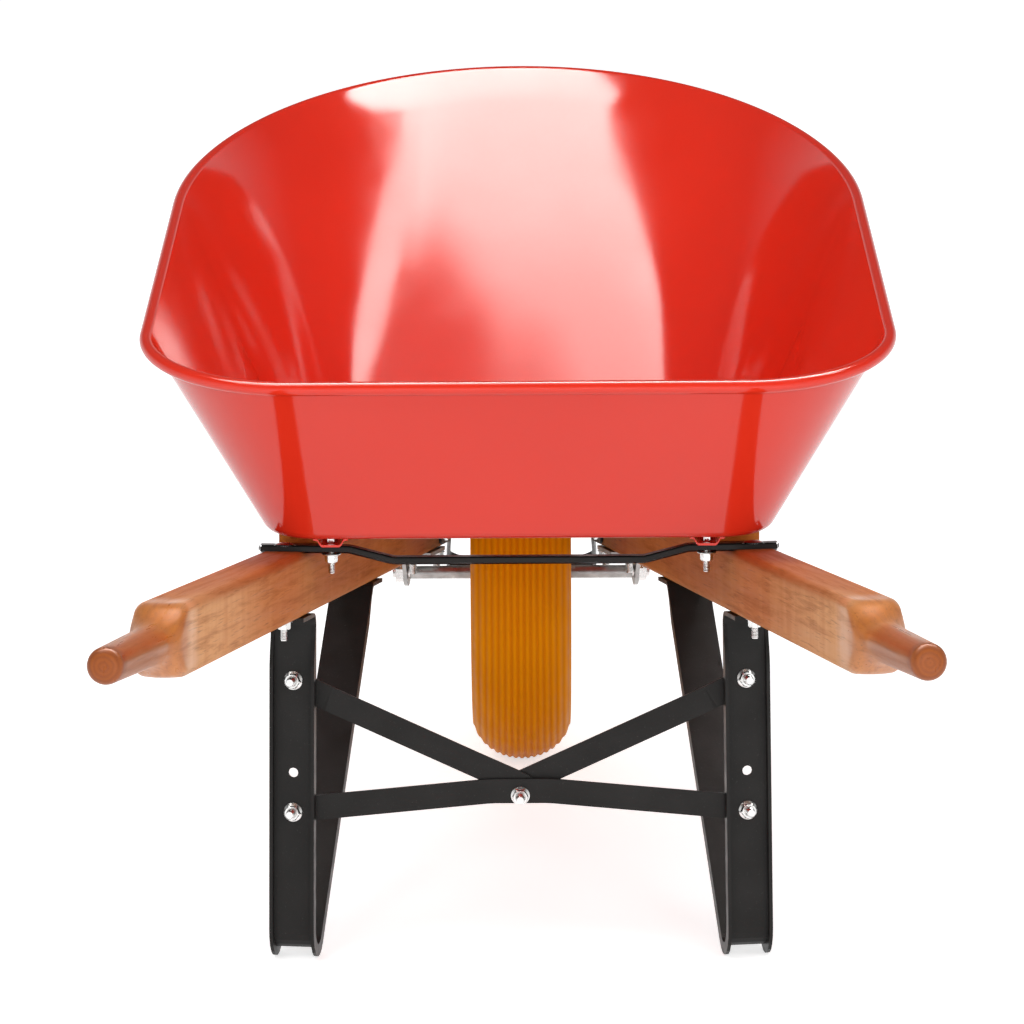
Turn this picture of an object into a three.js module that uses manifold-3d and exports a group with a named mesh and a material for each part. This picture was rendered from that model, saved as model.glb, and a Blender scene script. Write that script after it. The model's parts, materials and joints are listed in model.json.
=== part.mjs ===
// Contractor's wheelbarrow: a pressed steel tray on two splayed hardwood handles,
// with channel-strap legs, a flat-strap leg brace and one ribbed solid tyre.
// Millimetres, +Z up, +Y forward (towards the wheel), +X to the right of the user.
// Heights are above the ground; while building, Y is measured forward from a datum line
// across the grips.

import * as THREE from 'three';
import { mergeVertices } from 'three/addons/utils/BufferGeometryUtils.js';
import Module from 'manifold-3d';

const wasm = await Module();
wasm.setup();

// ---------------------------------------------------------------- driving dimensions

const SEAT = 0.3;                 // gap left between two pieces that rest on each other
const HOLE_CLEARANCE = 0.5;       // radial play of a bolt in its hole
const SIDES = [{ name: 'left', sign: -1 }, { name: 'right', sign: 1 }];

// handles
const HANDLE_LENGTH = 1549;
const GRIP_BEHIND_DATUM = 25;
const HANDLE_WIDTH = 41;
const HANDLE_HEIGHT = 57;
const HANDLE_EDGE_RADIUS = 7;
const HANDLE_SPLAY = THREE.MathUtils.degToRad(7.45);
const GRIP_HALF_SPREAD = 293;
const GRIP_CENTRE_HEIGHT = 437;
const GRIP_RADIUS = 15.5;
const GRIP_TIP_RADIUS = 13.8;
const GRIP_LENGTH = 148;
const GRIP_FLARE_LENGTH = 80;
const GRIP_STEPS = { tip: 3, flare: 6, round: 16 };

// tray
const TRAY_SHEET = 2;
const TRAY_LIFT = 13.7;             // from the handles' top face up to the floor, at the bar
const TRAY_OVERHANG = 25;           // from the bar back to the floor's rear edge
const TRAY_FLOOR_LENGTH = 540;
const TRAY_FLOOR_HALF_WIDTH = 218;
const TRAY_FLOOR_CORNER = 48;
const TRAY_FLOOR_NOSE_LENGTH = 150;
const TRAY_FLOOR_NOSE_POWER = 2.6;
const TRAY_FLOOR_BEND_RADIUS = 16;
const TRAY_REAR_RAKE = 97;          // from the floor's rear edge back to the rim
const TRAY_RIM_LENGTH = 896;
const TRAY_RIM_HALF_WIDTH = 312;
const TRAY_RIM_CORNER = 128;
const TRAY_RIM_NOSE_LENGTH = 430;
const TRAY_RIM_NOSE_POWER = 2;
const TRAY_REAR_DEPTH = 153;
const TRAY_RIM_TILT = THREE.MathUtils.degToRad(10.6);
const TRAY_SIDE_TAPER = 4;
const TRAY_CURL_RADIUS = 6;
const TRAY_CURL_ANGLE = THREE.MathUtils.degToRad(285);

// wooden risers between the handles and the tray floor
const RISER_AHEAD_OF_BAR = 83;
const RISER_FRONT_INSET = 40;

// rear bracket bar that ties the handles together and carries the tray's saddles
const BAR_POSITION = 685;
const BAR_WIDTH = 20;
const BAR_THICKNESS = 4;
const BAR_DROP = 10;
const BAR_JOGGLE_RUN = 38;
const BAR_JOGGLE_GAP = 1;            // between the joggle and the saddle

// saddles pressed from sheet under the tray's rear edge
const SADDLE_INBOARD = 19.8;         // from the handle's inner face to the saddle's bolt
const SADDLE_WIDTH = 30;
const SADDLE_LENGTH = 38;
const SADDLE_SHEET = 2;
const SADDLE_BOLT_BACK = 13;         // from the saddle's rear edge to its bolt
const SADDLE_TROUGH = 0.5;           // half width of the trough's flat, as a share
const SADDLE_BROW = 0.84;            // where the trough has risen to the flanges
const SADDLE_STEPS = 16;

// legs: one channel strap each, bent to a V with a round foot
const LEG_WIDTH = 40;
const LEG_SHEET = 3;
const LEG_FLANGE = 8;
const LEG_FOOT_RADIUS = 20;
const LEG_FOOT_AHEAD_OF_BAR = 31;
const LEG_REAR_LEAN = THREE.MathUtils.degToRad(5.3);
const LEG_FRONT_LEAN = THREE.MathUtils.degToRad(50);
const LEG_BEND_RADIUS = 9;
const LEG_TAB_MARGIN = 16;
const LEG_FRONT_TAB_BOLT = 36;
const LEG_FLANGE_RUNOUT = 36;
const LEG_FLANGE_LEAST = 0.6;
const LEG_UPPER_BOLT_HEIGHT = 251;
const LEG_LOWER_BOLT_HEIGHT = 134;
const LEG_SPARE_HOLE_HEIGHT = 169;

// flat straps of the leg brace, the front braces and the wheel guard
const STRAP_WIDTH = 22;
const STRAP_THICKNESS = 3;
const STRAP_PAD_MARGIN = 2;        // of a pad beyond its round end, past the bolt
const BRACE_BOLT_RISE = 14;        // of the middle bolt over the lower leg bolts
const TIE_BAR_BOLT_DROP = 3.8;     // of its bolts below its centre line
const DIAGONAL_BOLT_RISE = 2;      // of a leg bolt above the diagonal's centre line
const DIAGONAL_EYE_DROP = 8.9;     // of the middle bolt below the diagonal's centre line
const DIAGONAL_EYE_RADIUS = 8.5;
const DIAGONAL_EYE_FACETS = 16;
const GUARD_FRONT_CLEARANCE = 24;
const GUARD_HEIGHT = 151;
const GUARD_HALF_WIDTH = 80;
const GUARD_CORNER_RADIUS = 34;
const GUARD_BOLT_FROM_END = 24;
const GUARD_BOLT_INSET = 13;
const GUARD_ARM_BOLT_FROM_END = 50;
const GUARD_ARM_DROP = 13;         // from the handle's centre line down to the arm's bolt
const FRONT_BRACE_REACH = 26;      // from the tray's front edge up its wall to the bolt
const FRONT_BRACE_STAND = 0.8;
const WALL_BOLT_STAND = 0.8;

// wheel
const TYRE_RADIUS = 192.5;
const TYRE_WIDTH = 101;
const TYRE_CROWN_DEPTH = 44;
const TYRE_RIBS = 15;
const TYRE_RIB_DEPTH = 1.6;
const TYRE_CROWN_SHARE = 0.96;    // ribbed share of the tyre's width
const TYRE_GROOVE_SHARE = 0.4;    // sloping share of one rib's pitch
const RIM_RADIUS = 102;
const RIM_WIDTH = 72;
const RIM_SHEET = 2.5;
const RIM_LIP = 9;
const RIM_BEAD_SEAT = 20;
const RIM_BOLT_CIRCLE = 46;
const RIM_BOLTS = 4;
const HUB_RADIUS = 17;
const HUB_LENGTH = 92;
const HUB_FLANGE_RADIUS = 56;
const HUB_FLANGE_SHEET = 3;
const BEARING_RADIUS = 14;
const BEARING_LENGTH = 11;
const WHEEL_RUNNING_CLEARANCE = 0.6;
const WHEEL_FACETS = 32;

// axle
const AXLE_BEHIND_FRONT = 92;      // from the handles' front ends
const AXLE_BELOW_HANDLE = 53.35;   // from the handles' centre lines
const AXLE_RADIUS = 5;
const AXLE_FACETS = 16;
const SPACER_RADIUS = 6.7;
const AXLE_BRACKET_OFFSET = 12;
const AXLE_BRACKET_SHEET = 4;
const AXLE_BRACKET_MARGIN = 12;    // from the middle of a bolt to the pad's end
const AXLE_BRACKET_WIDTH = 34;
const AXLE_EAR_RADIUS = 14;
const AXLE_EAR_STEPS = 6;
const AXLE_EAR_SHOULDER = 36;      // half length of the ear where it meets the pad
const AXLE_NUT_RADIUS = 10;
const AXLE_NUT_LENGTH = 8;
const AXLE_THREAD_SHOWING = 3;

// fasteners
const BOLT_RADIUS = 3.9;
const BOLT_HEAD_RADIUS = 7.3;
const BOLT_HEAD_HEIGHT = 5;
const NUT_RADIUS = 7.3;
const NUT_HEIGHT = 6.5;
const NUT_FLANGE_RADIUS = 8.5;
const NUT_FLANGE_HEIGHT = 1.6;
const BOLT_OVERHANG = 10;
const BOLT_OVERHANG_SHORT = 2;     // where the thread would stand in the way
const DOME_HEAD_RADIUS = 9.5;
const DOME_HEAD_HEIGHT = 4.5;
const DOME_STEPS = 3;
const BOLT_FACETS = 8;
const NUT_FLANGE_FACETS = 10;

// ---------------------------------------------------------------- layout

const planDistance = (y) => y / Math.cos(HANDLE_SPLAY);
const handleFront = HANDLE_LENGTH - GRIP_BEHIND_DATUM;
const axlePosition = handleFront - AXLE_BEHIND_FRONT;
const handleSlope = Math.atan2(
  GRIP_CENTRE_HEIGHT - TYRE_RADIUS - AXLE_BELOW_HANDLE,
  planDistance(axlePosition),
);
const handleCentreX = (y) => GRIP_HALF_SPREAD - y * Math.tan(HANDLE_SPLAY);
const handleHalfHeight = HANDLE_HEIGHT / 2 / Math.cos(handleSlope);
const handleCentreHeight = (along) => GRIP_CENTRE_HEIGHT - along * Math.tan(handleSlope);
const handleTop = (along) => handleCentreHeight(along) + handleHalfHeight;
const handleBottom = (along) => handleCentreHeight(along) - handleHalfHeight;

const trayFloorHeight = handleTop(planDistance(BAR_POSITION)) + TRAY_LIFT;
const trayFloorRear = BAR_POSITION - TRAY_OVERHANG;
const trayRimRear = trayFloorRear - TRAY_REAR_RAKE;

// ---------------------------------------------------------------- materials

function paint(name, color, roughness, metalness) {
  return new THREE.MeshStandardMaterial({ name, color, roughness, metalness });
}

const redEnamel = () => paint('tray_enamel', 0xd8301f, 0.22, 0.0);
const blackPaint = () => paint('black_paint', 0x1f1d1c, 0.45, 0.1);
const varnishedWood = () => paint('varnished_wood', 0xb9713c, 0.4, 0.0);
const zincPlate = () => paint('zinc_plate', 0xb9bab6, 0.3, 0.9);
const amberRubber = () => paint('amber_rubber', 0xc97a10, 0.5, 0.0);
const greyPlate = () => paint('plated_steel', 0x8f9190, 0.35, 0.8);

// ---------------------------------------------------------------- solid helpers

const X_AXIS = new THREE.Vector3(1, 0, 0);
const Y_AXIS = new THREE.Vector3(0, 1, 0);
const Z_AXIS = new THREE.Vector3(0, 0, 1);

function solidOf(geometry) {
  const bare = geometry.clone();
  bare.deleteAttribute('normal');
  bare.deleteAttribute('uv');
  const merged = mergeVertices(bare, 1e-4);
  const mesh = new wasm.Mesh({
    numProp: 3,
    vertProperties: new Float32Array(merged.attributes.position.array),
    triVerts: new Uint32Array(merged.index.array),
  });
  return new wasm.Manifold(mesh);
}

function geometryOf(solid) {
  const mesh = solid.getMesh();
  const geometry = new THREE.BufferGeometry();
  geometry.setAttribute('position', new THREE.BufferAttribute(mesh.vertProperties, mesh.numProp));
  geometry.setIndex(new THREE.BufferAttribute(mesh.triVerts, 1));
  geometry.computeVertexNormals();
  return geometry;
}

function subtract(base, tools) {
  let solid = solidOf(base);
  for (const tool of tools) solid = solid.subtract(solidOf(tool));
  return geometryOf(solid);
}

function unite(pieces) {
  let solid = solidOf(pieces[0]);
  for (const piece of pieces.slice(1)) solid = solid.add(solidOf(piece));
  return geometryOf(solid);
}

function intersect(first, second) {
  return geometryOf(solidOf(first).intersect(solidOf(second)));
}

// A closed body through rings of equal point count; the first and last ring are capped.
// Each station gives its origin, its two section axes and its own section outline.
function sweep(stations) {
  const count = stations[0].section.length;
  const positions = [];
  for (const { at, side, up, section } of stations) {
    for (const [a, b] of section) {
      positions.push(
        at.x + a * side.x + b * up.x,
        at.y + a * side.y + b * up.y,
        at.z + a * side.z + b * up.z,
      );
    }
  }
  const index = [];
  for (let k = 0; k + 1 < stations.length; k += 1) {
    for (let i = 0; i < count; i += 1) {
      const j = (i + 1) % count;
      const low = k * count;
      const high = low + count;
      index.push(low + i, low + j, high + j, low + i, high + j, high + i);
    }
  }
  const last = (stations.length - 1) * count;
  const outline = (station) => station.section.map(([a, b]) => new THREE.Vector2(a, b));
  for (const [a, b, c] of THREE.ShapeUtils.triangulateShape(outline(stations[0]), [])) {
    index.push(a, c, b);
  }
  for (const [a, b, c] of THREE.ShapeUtils.triangulateShape(outline(stations.at(-1)), [])) {
    index.push(last + a, last + b, last + c);
  }
  return facingOut(positions, index);
}

function facingOut(positions, index) {
  let volume = 0;
  const corner = (i) => new THREE.Vector3().fromArray(positions, 3 * index[i]);
  for (let i = 0; i < index.length; i += 3) {
    volume += corner(i).dot(corner(i + 1).cross(corner(i + 2)));
  }
  const ordered = volume < 0 ? index.slice().reverse() : index;
  const geometry = new THREE.BufferGeometry();
  geometry.setAttribute('position', new THREE.Float32BufferAttribute(positions, 3));
  geometry.setIndex(ordered);
  geometry.computeVertexNormals();
  return geometry;
}

const STRAIGHT = THREE.MathUtils.degToRad(0.5);

// Points along a polyline whose inner corners are rounded by true arcs.
// Each result holds its point and the number of the corner it belongs to.
function roundedPath(corners, radii, stepAngle) {
  const path = [{ point: corners[0].clone(), corner: 0 }];
  for (let i = 1; i + 1 < corners.length; i += 1) {
    const back = corners[i - 1].clone().sub(corners[i]).normalize();
    const ahead = corners[i + 1].clone().sub(corners[i]).normalize();
    const turn = Math.PI - back.angleTo(ahead);
    if (turn < STRAIGHT) {
      path.push({ point: corners[i].clone(), corner: i });
      continue;
    }
    const radius = radii[i - 1];
    const reach = radius * Math.tan(turn / 2);
    const start = corners[i].clone().addScaledVector(back, reach);
    const end = corners[i].clone().addScaledVector(ahead, reach);
    const middle = back.clone().add(ahead).normalize();
    const centre = corners[i].clone().addScaledVector(middle, radius / Math.cos(turn / 2));
    const from = start.clone().sub(centre);
    const to = end.clone().sub(centre);
    const steps = Math.max(1, Math.round(turn / stepAngle));
    for (let k = 0; k <= steps; k += 1) {
      const point = centre.clone();
      point.addScaledVector(from, Math.sin((1 - k / steps) * turn) / Math.sin(turn));
      point.addScaledVector(to, Math.sin((k / steps) * turn) / Math.sin(turn));
      path.push({ point, corner: i });
    }
  }
  path.push({ point: corners.at(-1).clone(), corner: corners.length - 1 });
  return path;
}

// Adds evenly spaced points on every stretch longer than the given step.
function densified(path, step) {
  const dense = [path[0]];
  for (let i = 1; i < path.length; i += 1) {
    const from = path[i - 1].point;
    const to = path[i].point;
    const parts = Math.ceil(from.distanceTo(to) / step);
    for (let k = 1; k < parts; k += 1) {
      dense.push({ point: from.clone().lerp(to, k / parts), corner: path[i].corner });
    }
    dense.push(path[i]);
  }
  return dense;
}

function tangentAt(path, i) {
  const before = path[Math.max(i - 1, 0)].point;
  const after = path[Math.min(i + 1, path.length - 1)].point;
  return after.clone().sub(before).normalize();
}

const BEND_STEP = THREE.MathUtils.degToRad(18);
const ROUND_END_ANGLES = [24, 46, 68, 90].map(THREE.MathUtils.degToRad);

const flatSection = (half, thickness) => [
  [-half, -thickness / 2],
  [half, -thickness / 2],
  [half, thickness / 2],
  [-half, thickness / 2],
];

// A flat strap along a bent path. Every corner names its place, the direction in which
// the strap's width lies there, and its bend radius.
function strap(corners, { width, thickness, roundEnds = true }) {
  const bends = corners.slice(1, -1).map(({ bend = thickness * 2 }) => bend);
  const path = roundedPath(corners.map(({ at }) => at), bends, BEND_STEP);
  const stations = path.map(({ point, corner }, i) => {
    const along = tangentAt(path, i);
    const side = corners[corner].wide.clone();
    side.addScaledVector(along, -side.dot(along)).normalize();
    return { at: point, side, up: along.clone().cross(side), along, half: width / 2 };
  });
  const roundEnd = (end, direction) => ROUND_END_ANGLES.map((angle) => ({
    ...end,
    at: end.at.clone().addScaledVector(end.along, direction * (1 - Math.cos(angle)) * end.half),
    half: end.half * Math.sin(angle),
  }));
  const all = roundEnds
    ? [
      ...roundEnd(stations[0], 1),
      ...stations.slice(1, -1),
      ...roundEnd(stations.at(-1), -1).reverse(),
    ]
    : stations;
  return sweep(all.map((station) => ({ ...station, section: flatSection(station.half, thickness) })));
}

// Completes a strap that is mirrored about the middle plane, from its right-hand corners.
function withMirror(rightCorners) {
  const flip = new THREE.Vector3(-1, 1, 1);
  const left = rightCorners.map((corner) => ({
    ...corner,
    at: corner.at.clone().multiply(flip),
    wide: corner.wide.clone().multiply(flip),
  }));
  return [...left.reverse(), ...rightCorners];
}

// A plate or wedge drawn in the Y-Z plane and given its width along X.
function prism(outline, width) {
  const shape = new THREE.Shape(outline.map(([y, z]) => new THREE.Vector2(y, z)));
  const body = new THREE.ExtrudeGeometry(shape, { depth: width, bevelEnabled: false });
  body.translate(0, 0, -width / 2);
  return body.applyMatrix4(new THREE.Matrix4().makeBasis(Y_AXIS, Z_AXIS, X_AXIS));
}

// A cylinder whose axis runs from one point to another.
function rod(radius, from, to, facets = 12) {
  const geometry = new THREE.CylinderGeometry(radius, radius, from.distanceTo(to), facets);
  const turn = new THREE.Quaternion().setFromUnitVectors(Y_AXIS, to.clone().sub(from).normalize());
  geometry.applyQuaternion(turn);
  const middle = from.clone().add(to).multiplyScalar(0.5);
  return geometry.translate(middle.x, middle.y, middle.z);
}

function boltHole(centre, axis, depth, radius = BOLT_RADIUS) {
  const reach = axis.clone().setLength(depth);
  return rod(radius + HOLE_CLEARANCE, centre.clone().sub(reach), centre.clone().add(reach));
}

// ---------------------------------------------------------------- fasteners

const hexagon = (radius, low, high) =>
  rod(radius, new THREE.Vector3(0, 0, low), new THREE.Vector3(0, 0, high), 6);

const disc = (radius, low, high, sides) =>
  rod(radius, new THREE.Vector3(0, 0, low), new THREE.Vector3(0, 0, high), sides);

function domeHead() {
  const profile = [new THREE.Vector2(0, 0), new THREE.Vector2(DOME_HEAD_RADIUS, 0)];
  for (let k = 1; k < DOME_STEPS; k += 1) {
    const angle = (k / DOME_STEPS) * Math.PI / 2;
    profile.push(new THREE.Vector2(
      DOME_HEAD_RADIUS * Math.cos(angle),
      DOME_HEAD_HEIGHT * Math.sin(angle),
    ));
  }
  profile.push(new THREE.Vector2(0, DOME_HEAD_HEIGHT));
  return new THREE.LatheGeometry(profile, NUT_FLANGE_FACETS).rotateX(Math.PI / 2);
}

// A bolt with its flange nut. The head sits on z = 0 and the shank runs down -Z through
// the given grip; under it come the nut and the free thread.
function boltWithNut(grip, head, overhang) {
  const top = head === 'dome' ? domeHead() : hexagon(BOLT_HEAD_RADIUS, 0, BOLT_HEAD_HEIGHT);
  const flange = -grip - NUT_FLANGE_HEIGHT;
  const nutEnd = flange - NUT_HEIGHT;
  return unite([
    top,
    disc(BOLT_RADIUS, nutEnd - overhang, SEAT, BOLT_FACETS),
    disc(NUT_FLANGE_RADIUS, flange, -grip, NUT_FLANGE_FACETS),
    hexagon(NUT_RADIUS, nutEnd, flange + SEAT),
  ]);
}

// ---------------------------------------------------------------- frames

const wheelbarrow = new THREE.Group();
wheelbarrow.name = 'wheelbarrow';

function addPart(name, geometry, material, parent = wheelbarrow) {
  const mesh = new THREE.Mesh(geometry, material);
  mesh.name = name;
  parent.add(mesh);
  return mesh;
}

// Puts a bolt so that its head seats on the given point and its shank runs against the axis.
function addBolt(name, { seat, axis, grip, head = 'hex', overhang = BOLT_OVERHANG }) {
  const mesh = addPart(name, boltWithNut(grip, head, overhang), zincPlate());
  mesh.position.copy(seat);
  mesh.quaternion.setFromUnitVectors(Z_AXIS, axis.clone().normalize());
  return mesh;
}

// One frame per handle: +Y runs along the handle, +Z is square to its top face.
function handleMatrix(sign) {
  const turn = new THREE.Euler(-handleSlope, 0, sign * HANDLE_SPLAY, 'ZXY');
  const matrix = new THREE.Matrix4().makeRotationFromEuler(turn);
  return matrix.setPosition(sign * GRIP_HALF_SPREAD, 0, GRIP_CENTRE_HEIGHT);
}

// One upright frame per handle: +Y follows the handle on plan and +Z is vertical.
function planMatrix(sign) {
  const matrix = new THREE.Matrix4().makeRotationZ(sign * HANDLE_SPLAY);
  return matrix.setPosition(sign * GRIP_HALF_SPREAD, 0, 0);
}

const onHandle = (sign, outward, along, above) =>
  new THREE.Vector3(sign * outward, along, above).applyMatrix4(handleMatrix(sign));

const onPlan = (sign, outward, along, height) =>
  new THREE.Vector3(sign * outward, along, height).applyMatrix4(planMatrix(sign));

function groupWith(matrix) {
  const group = new THREE.Group();
  group.applyMatrix4(matrix);
  wheelbarrow.add(group);
  return group;
}

const sides = SIDES.map((side) => ({
  ...side,
  handle: groupWith(handleMatrix(side.sign)),
  plan: groupWith(planMatrix(side.sign)),
}));

// Distance along the handle of the point whose given height above its centre line
// lies at the plan distance asked for.
const alongHandle = (along, above) =>
  (along - above * Math.sin(handleSlope)) / Math.cos(handleSlope);

// ---------------------------------------------------------------- handles and risers

const rearBoltAlong = alongHandle(planDistance(BAR_POSITION), HANDLE_HEIGHT / 2);

function roundedRectangle(width, height, radius) {
  const shape = new THREE.Shape();
  const [w, h] = [width / 2 - radius, height / 2 - radius];
  shape.absarc(w, h, radius, 0, Math.PI / 2, false);
  shape.absarc(-w, h, radius, Math.PI / 2, Math.PI, false);
  shape.absarc(-w, -h, radius, Math.PI, Math.PI * 1.5, false);
  shape.absarc(w, -h, radius, Math.PI * 1.5, Math.PI * 2, false);
  return shape;
}

// The grip's profile as [distance from its end, radius]: a domed tip, the grip and a
// flare that ends clear of the square bar's edges.
function gripProfile() {
  const tip = GRIP_TIP_RADIUS / 2;
  const edge = Math.hypot(HANDLE_WIDTH, HANDLE_HEIGHT) / 2;
  const shares = (count) => Array.from({ length: count }, (_, k) => (k + 1) / count);
  const flareEnd = GRIP_LENGTH + GRIP_FLARE_LENGTH;
  return [
    [0, 0],
    ...shares(GRIP_STEPS.tip).map((share) => [
      tip * (1 - Math.cos(share * Math.PI / 2)),
      GRIP_TIP_RADIUS - tip + tip * Math.sin(share * Math.PI / 2),
    ]),
    [GRIP_LENGTH, GRIP_RADIUS],
    ...shares(GRIP_STEPS.flare).map((share) => [
      GRIP_LENGTH + GRIP_FLARE_LENGTH * share,
      THREE.MathUtils.lerp(GRIP_RADIUS, edge, (1 - Math.cos(share * Math.PI)) / 2),
    ]),
    [flareEnd, edge + HANDLE_EDGE_RADIUS],
    [HANDLE_LENGTH + edge, edge + HANDLE_EDGE_RADIUS],
    [HANDLE_LENGTH + edge, 0],
  ];
}

// The square bar is turned down at the rear to a grip with a domed tip.
function handleBlank() {
  const section = roundedRectangle(HANDLE_WIDTH, HANDLE_HEIGHT, HANDLE_EDGE_RADIUS);
  const bar = new THREE.ExtrudeGeometry(section, {
    depth: HANDLE_LENGTH,
    bevelEnabled: false,
    curveSegments: 2,
  });
  bar.rotateX(-Math.PI / 2);
  const profile = gripProfile().map(([along, radius]) => new THREE.Vector2(radius, along));
  const blank = intersect(bar, new THREE.LatheGeometry(profile, GRIP_STEPS.round));
  return blank.translate(0, -GRIP_BEHIND_DATUM, 0);
}

// ---------------------------------------------------------------- leg geometry

// Everything here is drawn in a leg's upright frame: x is the distance along the handle
// on plan and y is the height.
function meet(p, d, q, e) {
  const step = ((q.x - p.x) * e.y - (q.y - p.y) * e.x) / (d.x * e.y - d.y * e.x);
  return p.clone().addScaledVector(d, step);
}

const footCentre = new THREE.Vector2(
  planDistance(BAR_POSITION + LEG_FOOT_AHEAD_OF_BAR),
  LEG_FOOT_RADIUS + LEG_FLANGE,
);
const tabLine = {
  point: new THREE.Vector2(0, handleBottom(0) - (LEG_SHEET + SEAT) / Math.cos(handleSlope)),
  direction: new THREE.Vector2(Math.cos(handleSlope), -Math.sin(handleSlope)),
};

function legLine(lean, outwardSign) {
  const direction = new THREE.Vector2(Math.sin(lean), Math.cos(lean));
  const outward = new THREE.Vector2(direction.y, -direction.x).multiplyScalar(outwardSign);
  const point = footCentre.clone().addScaledVector(outward, LEG_FOOT_RADIUS);
  return { direction, outward, point, knee: meet(point, direction, tabLine.point, tabLine.direction) };
}

const legRear = legLine(LEG_REAR_LEAN, -1);
const legFront = legLine(LEG_FRONT_LEAN, 1);
const legApex = meet(legRear.point, legRear.direction, legFront.point, legFront.direction);
const tabDepth = HANDLE_HEIGHT / 2 + SEAT + LEG_SHEET;
const rearTabBolt = rearBoltAlong * Math.cos(handleSlope) - tabDepth * Math.sin(handleSlope);
const frontTabBolt = legFront.knee.x + LEG_FRONT_TAB_BOLT;
const upright = new THREE.Vector2(0, 1);
const onTab = (along) => meet(new THREE.Vector2(along, 0), upright, tabLine.point, tabLine.direction);

// The point of a rear strap's outer face at a given height.
const onRearStrap = (height) => legRear.point.clone()
  .addScaledVector(legRear.direction, (height - legRear.point.y) / legRear.direction.y);

// Out of a rear strap's web and up along it, in the wheelbarrow's own axes.
const webAxis = (sign) => new THREE.Vector3(0, legRear.outward.x, legRear.outward.y)
  .transformDirection(planMatrix(sign));
const webUp = (sign) => new THREE.Vector3(0, legRear.direction.x, legRear.direction.y)
  .transformDirection(planMatrix(sign));

// A point in front of a rear strap's web: outward across the strap, at a height on it,
// and so far in front of the web's front face.
function inFrontOfWeb(sign, outward, height, stand) {
  const face = onRearStrap(height).addScaledVector(legRear.outward, -LEG_SHEET - stand);
  return onPlan(sign, outward, face.x, face.y);
}

function channelSection(flange) {
  const half = LEG_WIDTH / 2;
  return [
    [-half, -LEG_SHEET],
    [half, -LEG_SHEET],
    [half, flange],
    [half - LEG_SHEET, flange],
    [half - LEG_SHEET, 0],
    [LEG_SHEET - half, 0],
    [LEG_SHEET - half, flange],
    [-half, flange],
  ];
}

const kneeDistance = ({ y, z }) => Math.min(
  ...[legRear.knee, legFront.knee].map((knee) => Math.hypot(y - knee.x, z - knee.y)),
);
const isOnTab = ({ y, z }) => z > onTab(y).y - SEAT;

// The flanges run out towards both knees, so that the strap can bend there.
function flangeAt(point) {
  const start = LEG_BEND_RADIUS;
  const share = THREE.MathUtils.smoothstep(kneeDistance(point), start, start + LEG_FLANGE_RUNOUT);
  return isOnTab(point)
    ? LEG_FLANGE_LEAST
    : THREE.MathUtils.lerp(LEG_FLANGE_LEAST, LEG_FLANGE, share);
}

function legBlank() {
  const corners = [
    onTab(rearTabBolt - LEG_TAB_MARGIN),
    legRear.knee,
    legApex,
    legFront.knee,
    onTab(frontTabBolt + LEG_TAB_MARGIN),
  ].map(({ x, y }) => new THREE.Vector3(0, x, y));
  const bends = [LEG_BEND_RADIUS, LEG_FOOT_RADIUS, LEG_BEND_RADIUS];
  const bare = roundedPath(corners, bends, BEND_STEP);
  const reach = LEG_BEND_RADIUS + LEG_FLANGE_RUNOUT + SEAT;
  const path = densified(bare, LEG_FLANGE_RUNOUT / 3)
    .filter((entry) => bare.includes(entry) || (kneeDistance(entry.point) < reach && !isOnTab(entry.point)));
  return sweep(path.map(({ point }, i) => {
    const along = tangentAt(path, i);
    const outward = new THREE.Vector3(0, along.z, -along.y);
    return { at: point, side: X_AXIS, up: outward, section: channelSection(flangeAt(point)) };
  }));
}

function legHoles() {
  const hole = ({ x, y }, axis) => boltHole(new THREE.Vector3(0, x, y), axis, LEG_FLANGE * 2);
  const tabAxis = new THREE.Vector3(0, Math.sin(handleSlope), Math.cos(handleSlope));
  const rearAxis = new THREE.Vector3(0, legRear.outward.x, legRear.outward.y);
  const heights = [LEG_UPPER_BOLT_HEIGHT, LEG_LOWER_BOLT_HEIGHT, LEG_SPARE_HOLE_HEIGHT];
  return [
    hole(onTab(rearTabBolt), tabAxis),
    hole(onTab(frontTabBolt), Z_AXIS),
    ...heights.map((height) => hole(onRearStrap(height), rearAxis)),
  ];
}

// ---------------------------------------------------------------- handles and risers

const riserRear = planDistance(BAR_POSITION + RISER_AHEAD_OF_BAR);
const riserFront = planDistance(trayFloorRear + TRAY_FLOOR_LENGTH - RISER_FRONT_INSET);
const guardBoltAlong = handleFront - GUARD_BOLT_FROM_END;
const guardArmAlong = handleFront - GUARD_ARM_BOLT_FROM_END;

// Where the axle's centre line passes through a bracket's ear, in the right handle's frame.
const earX = handleCentreX(axlePosition) + AXLE_BRACKET_OFFSET / Math.cos(HANDLE_SPLAY);
const earCentre = new THREE.Vector3(earX, axlePosition, TYRE_RADIUS)
  .applyMatrix4(handleMatrix(1).invert());
const bracketBoltAlong = 2 * earCentre.y - guardBoltAlong;

function buildHandle({ name, sign, handle }) {
  const toHandle = handleMatrix(sign).invert();
  const frontTab = onTab(frontTabBolt);
  const frontHole = onPlan(sign, 0, frontTab.x, frontTab.y).applyMatrix4(toHandle);
  const squareHole = (outward, along) =>
    boltHole(new THREE.Vector3(sign * outward, along, 0), Z_AXIS, HANDLE_HEIGHT);
  const holes = [
    squareHole(0, rearBoltAlong),
    squareHole(-GUARD_BOLT_INSET, guardBoltAlong),
    squareHole(0, bracketBoltAlong),
    boltHole(frontHole, Z_AXIS.clone().transformDirection(toHandle), HANDLE_HEIGHT * 2),
    boltHole(new THREE.Vector3(0, guardArmAlong, -GUARD_ARM_DROP), X_AXIS, HANDLE_WIDTH),
  ];
  addPart(`handle_${name}`, subtract(handleBlank(), holes), varnishedWood(), handle);
}

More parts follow.
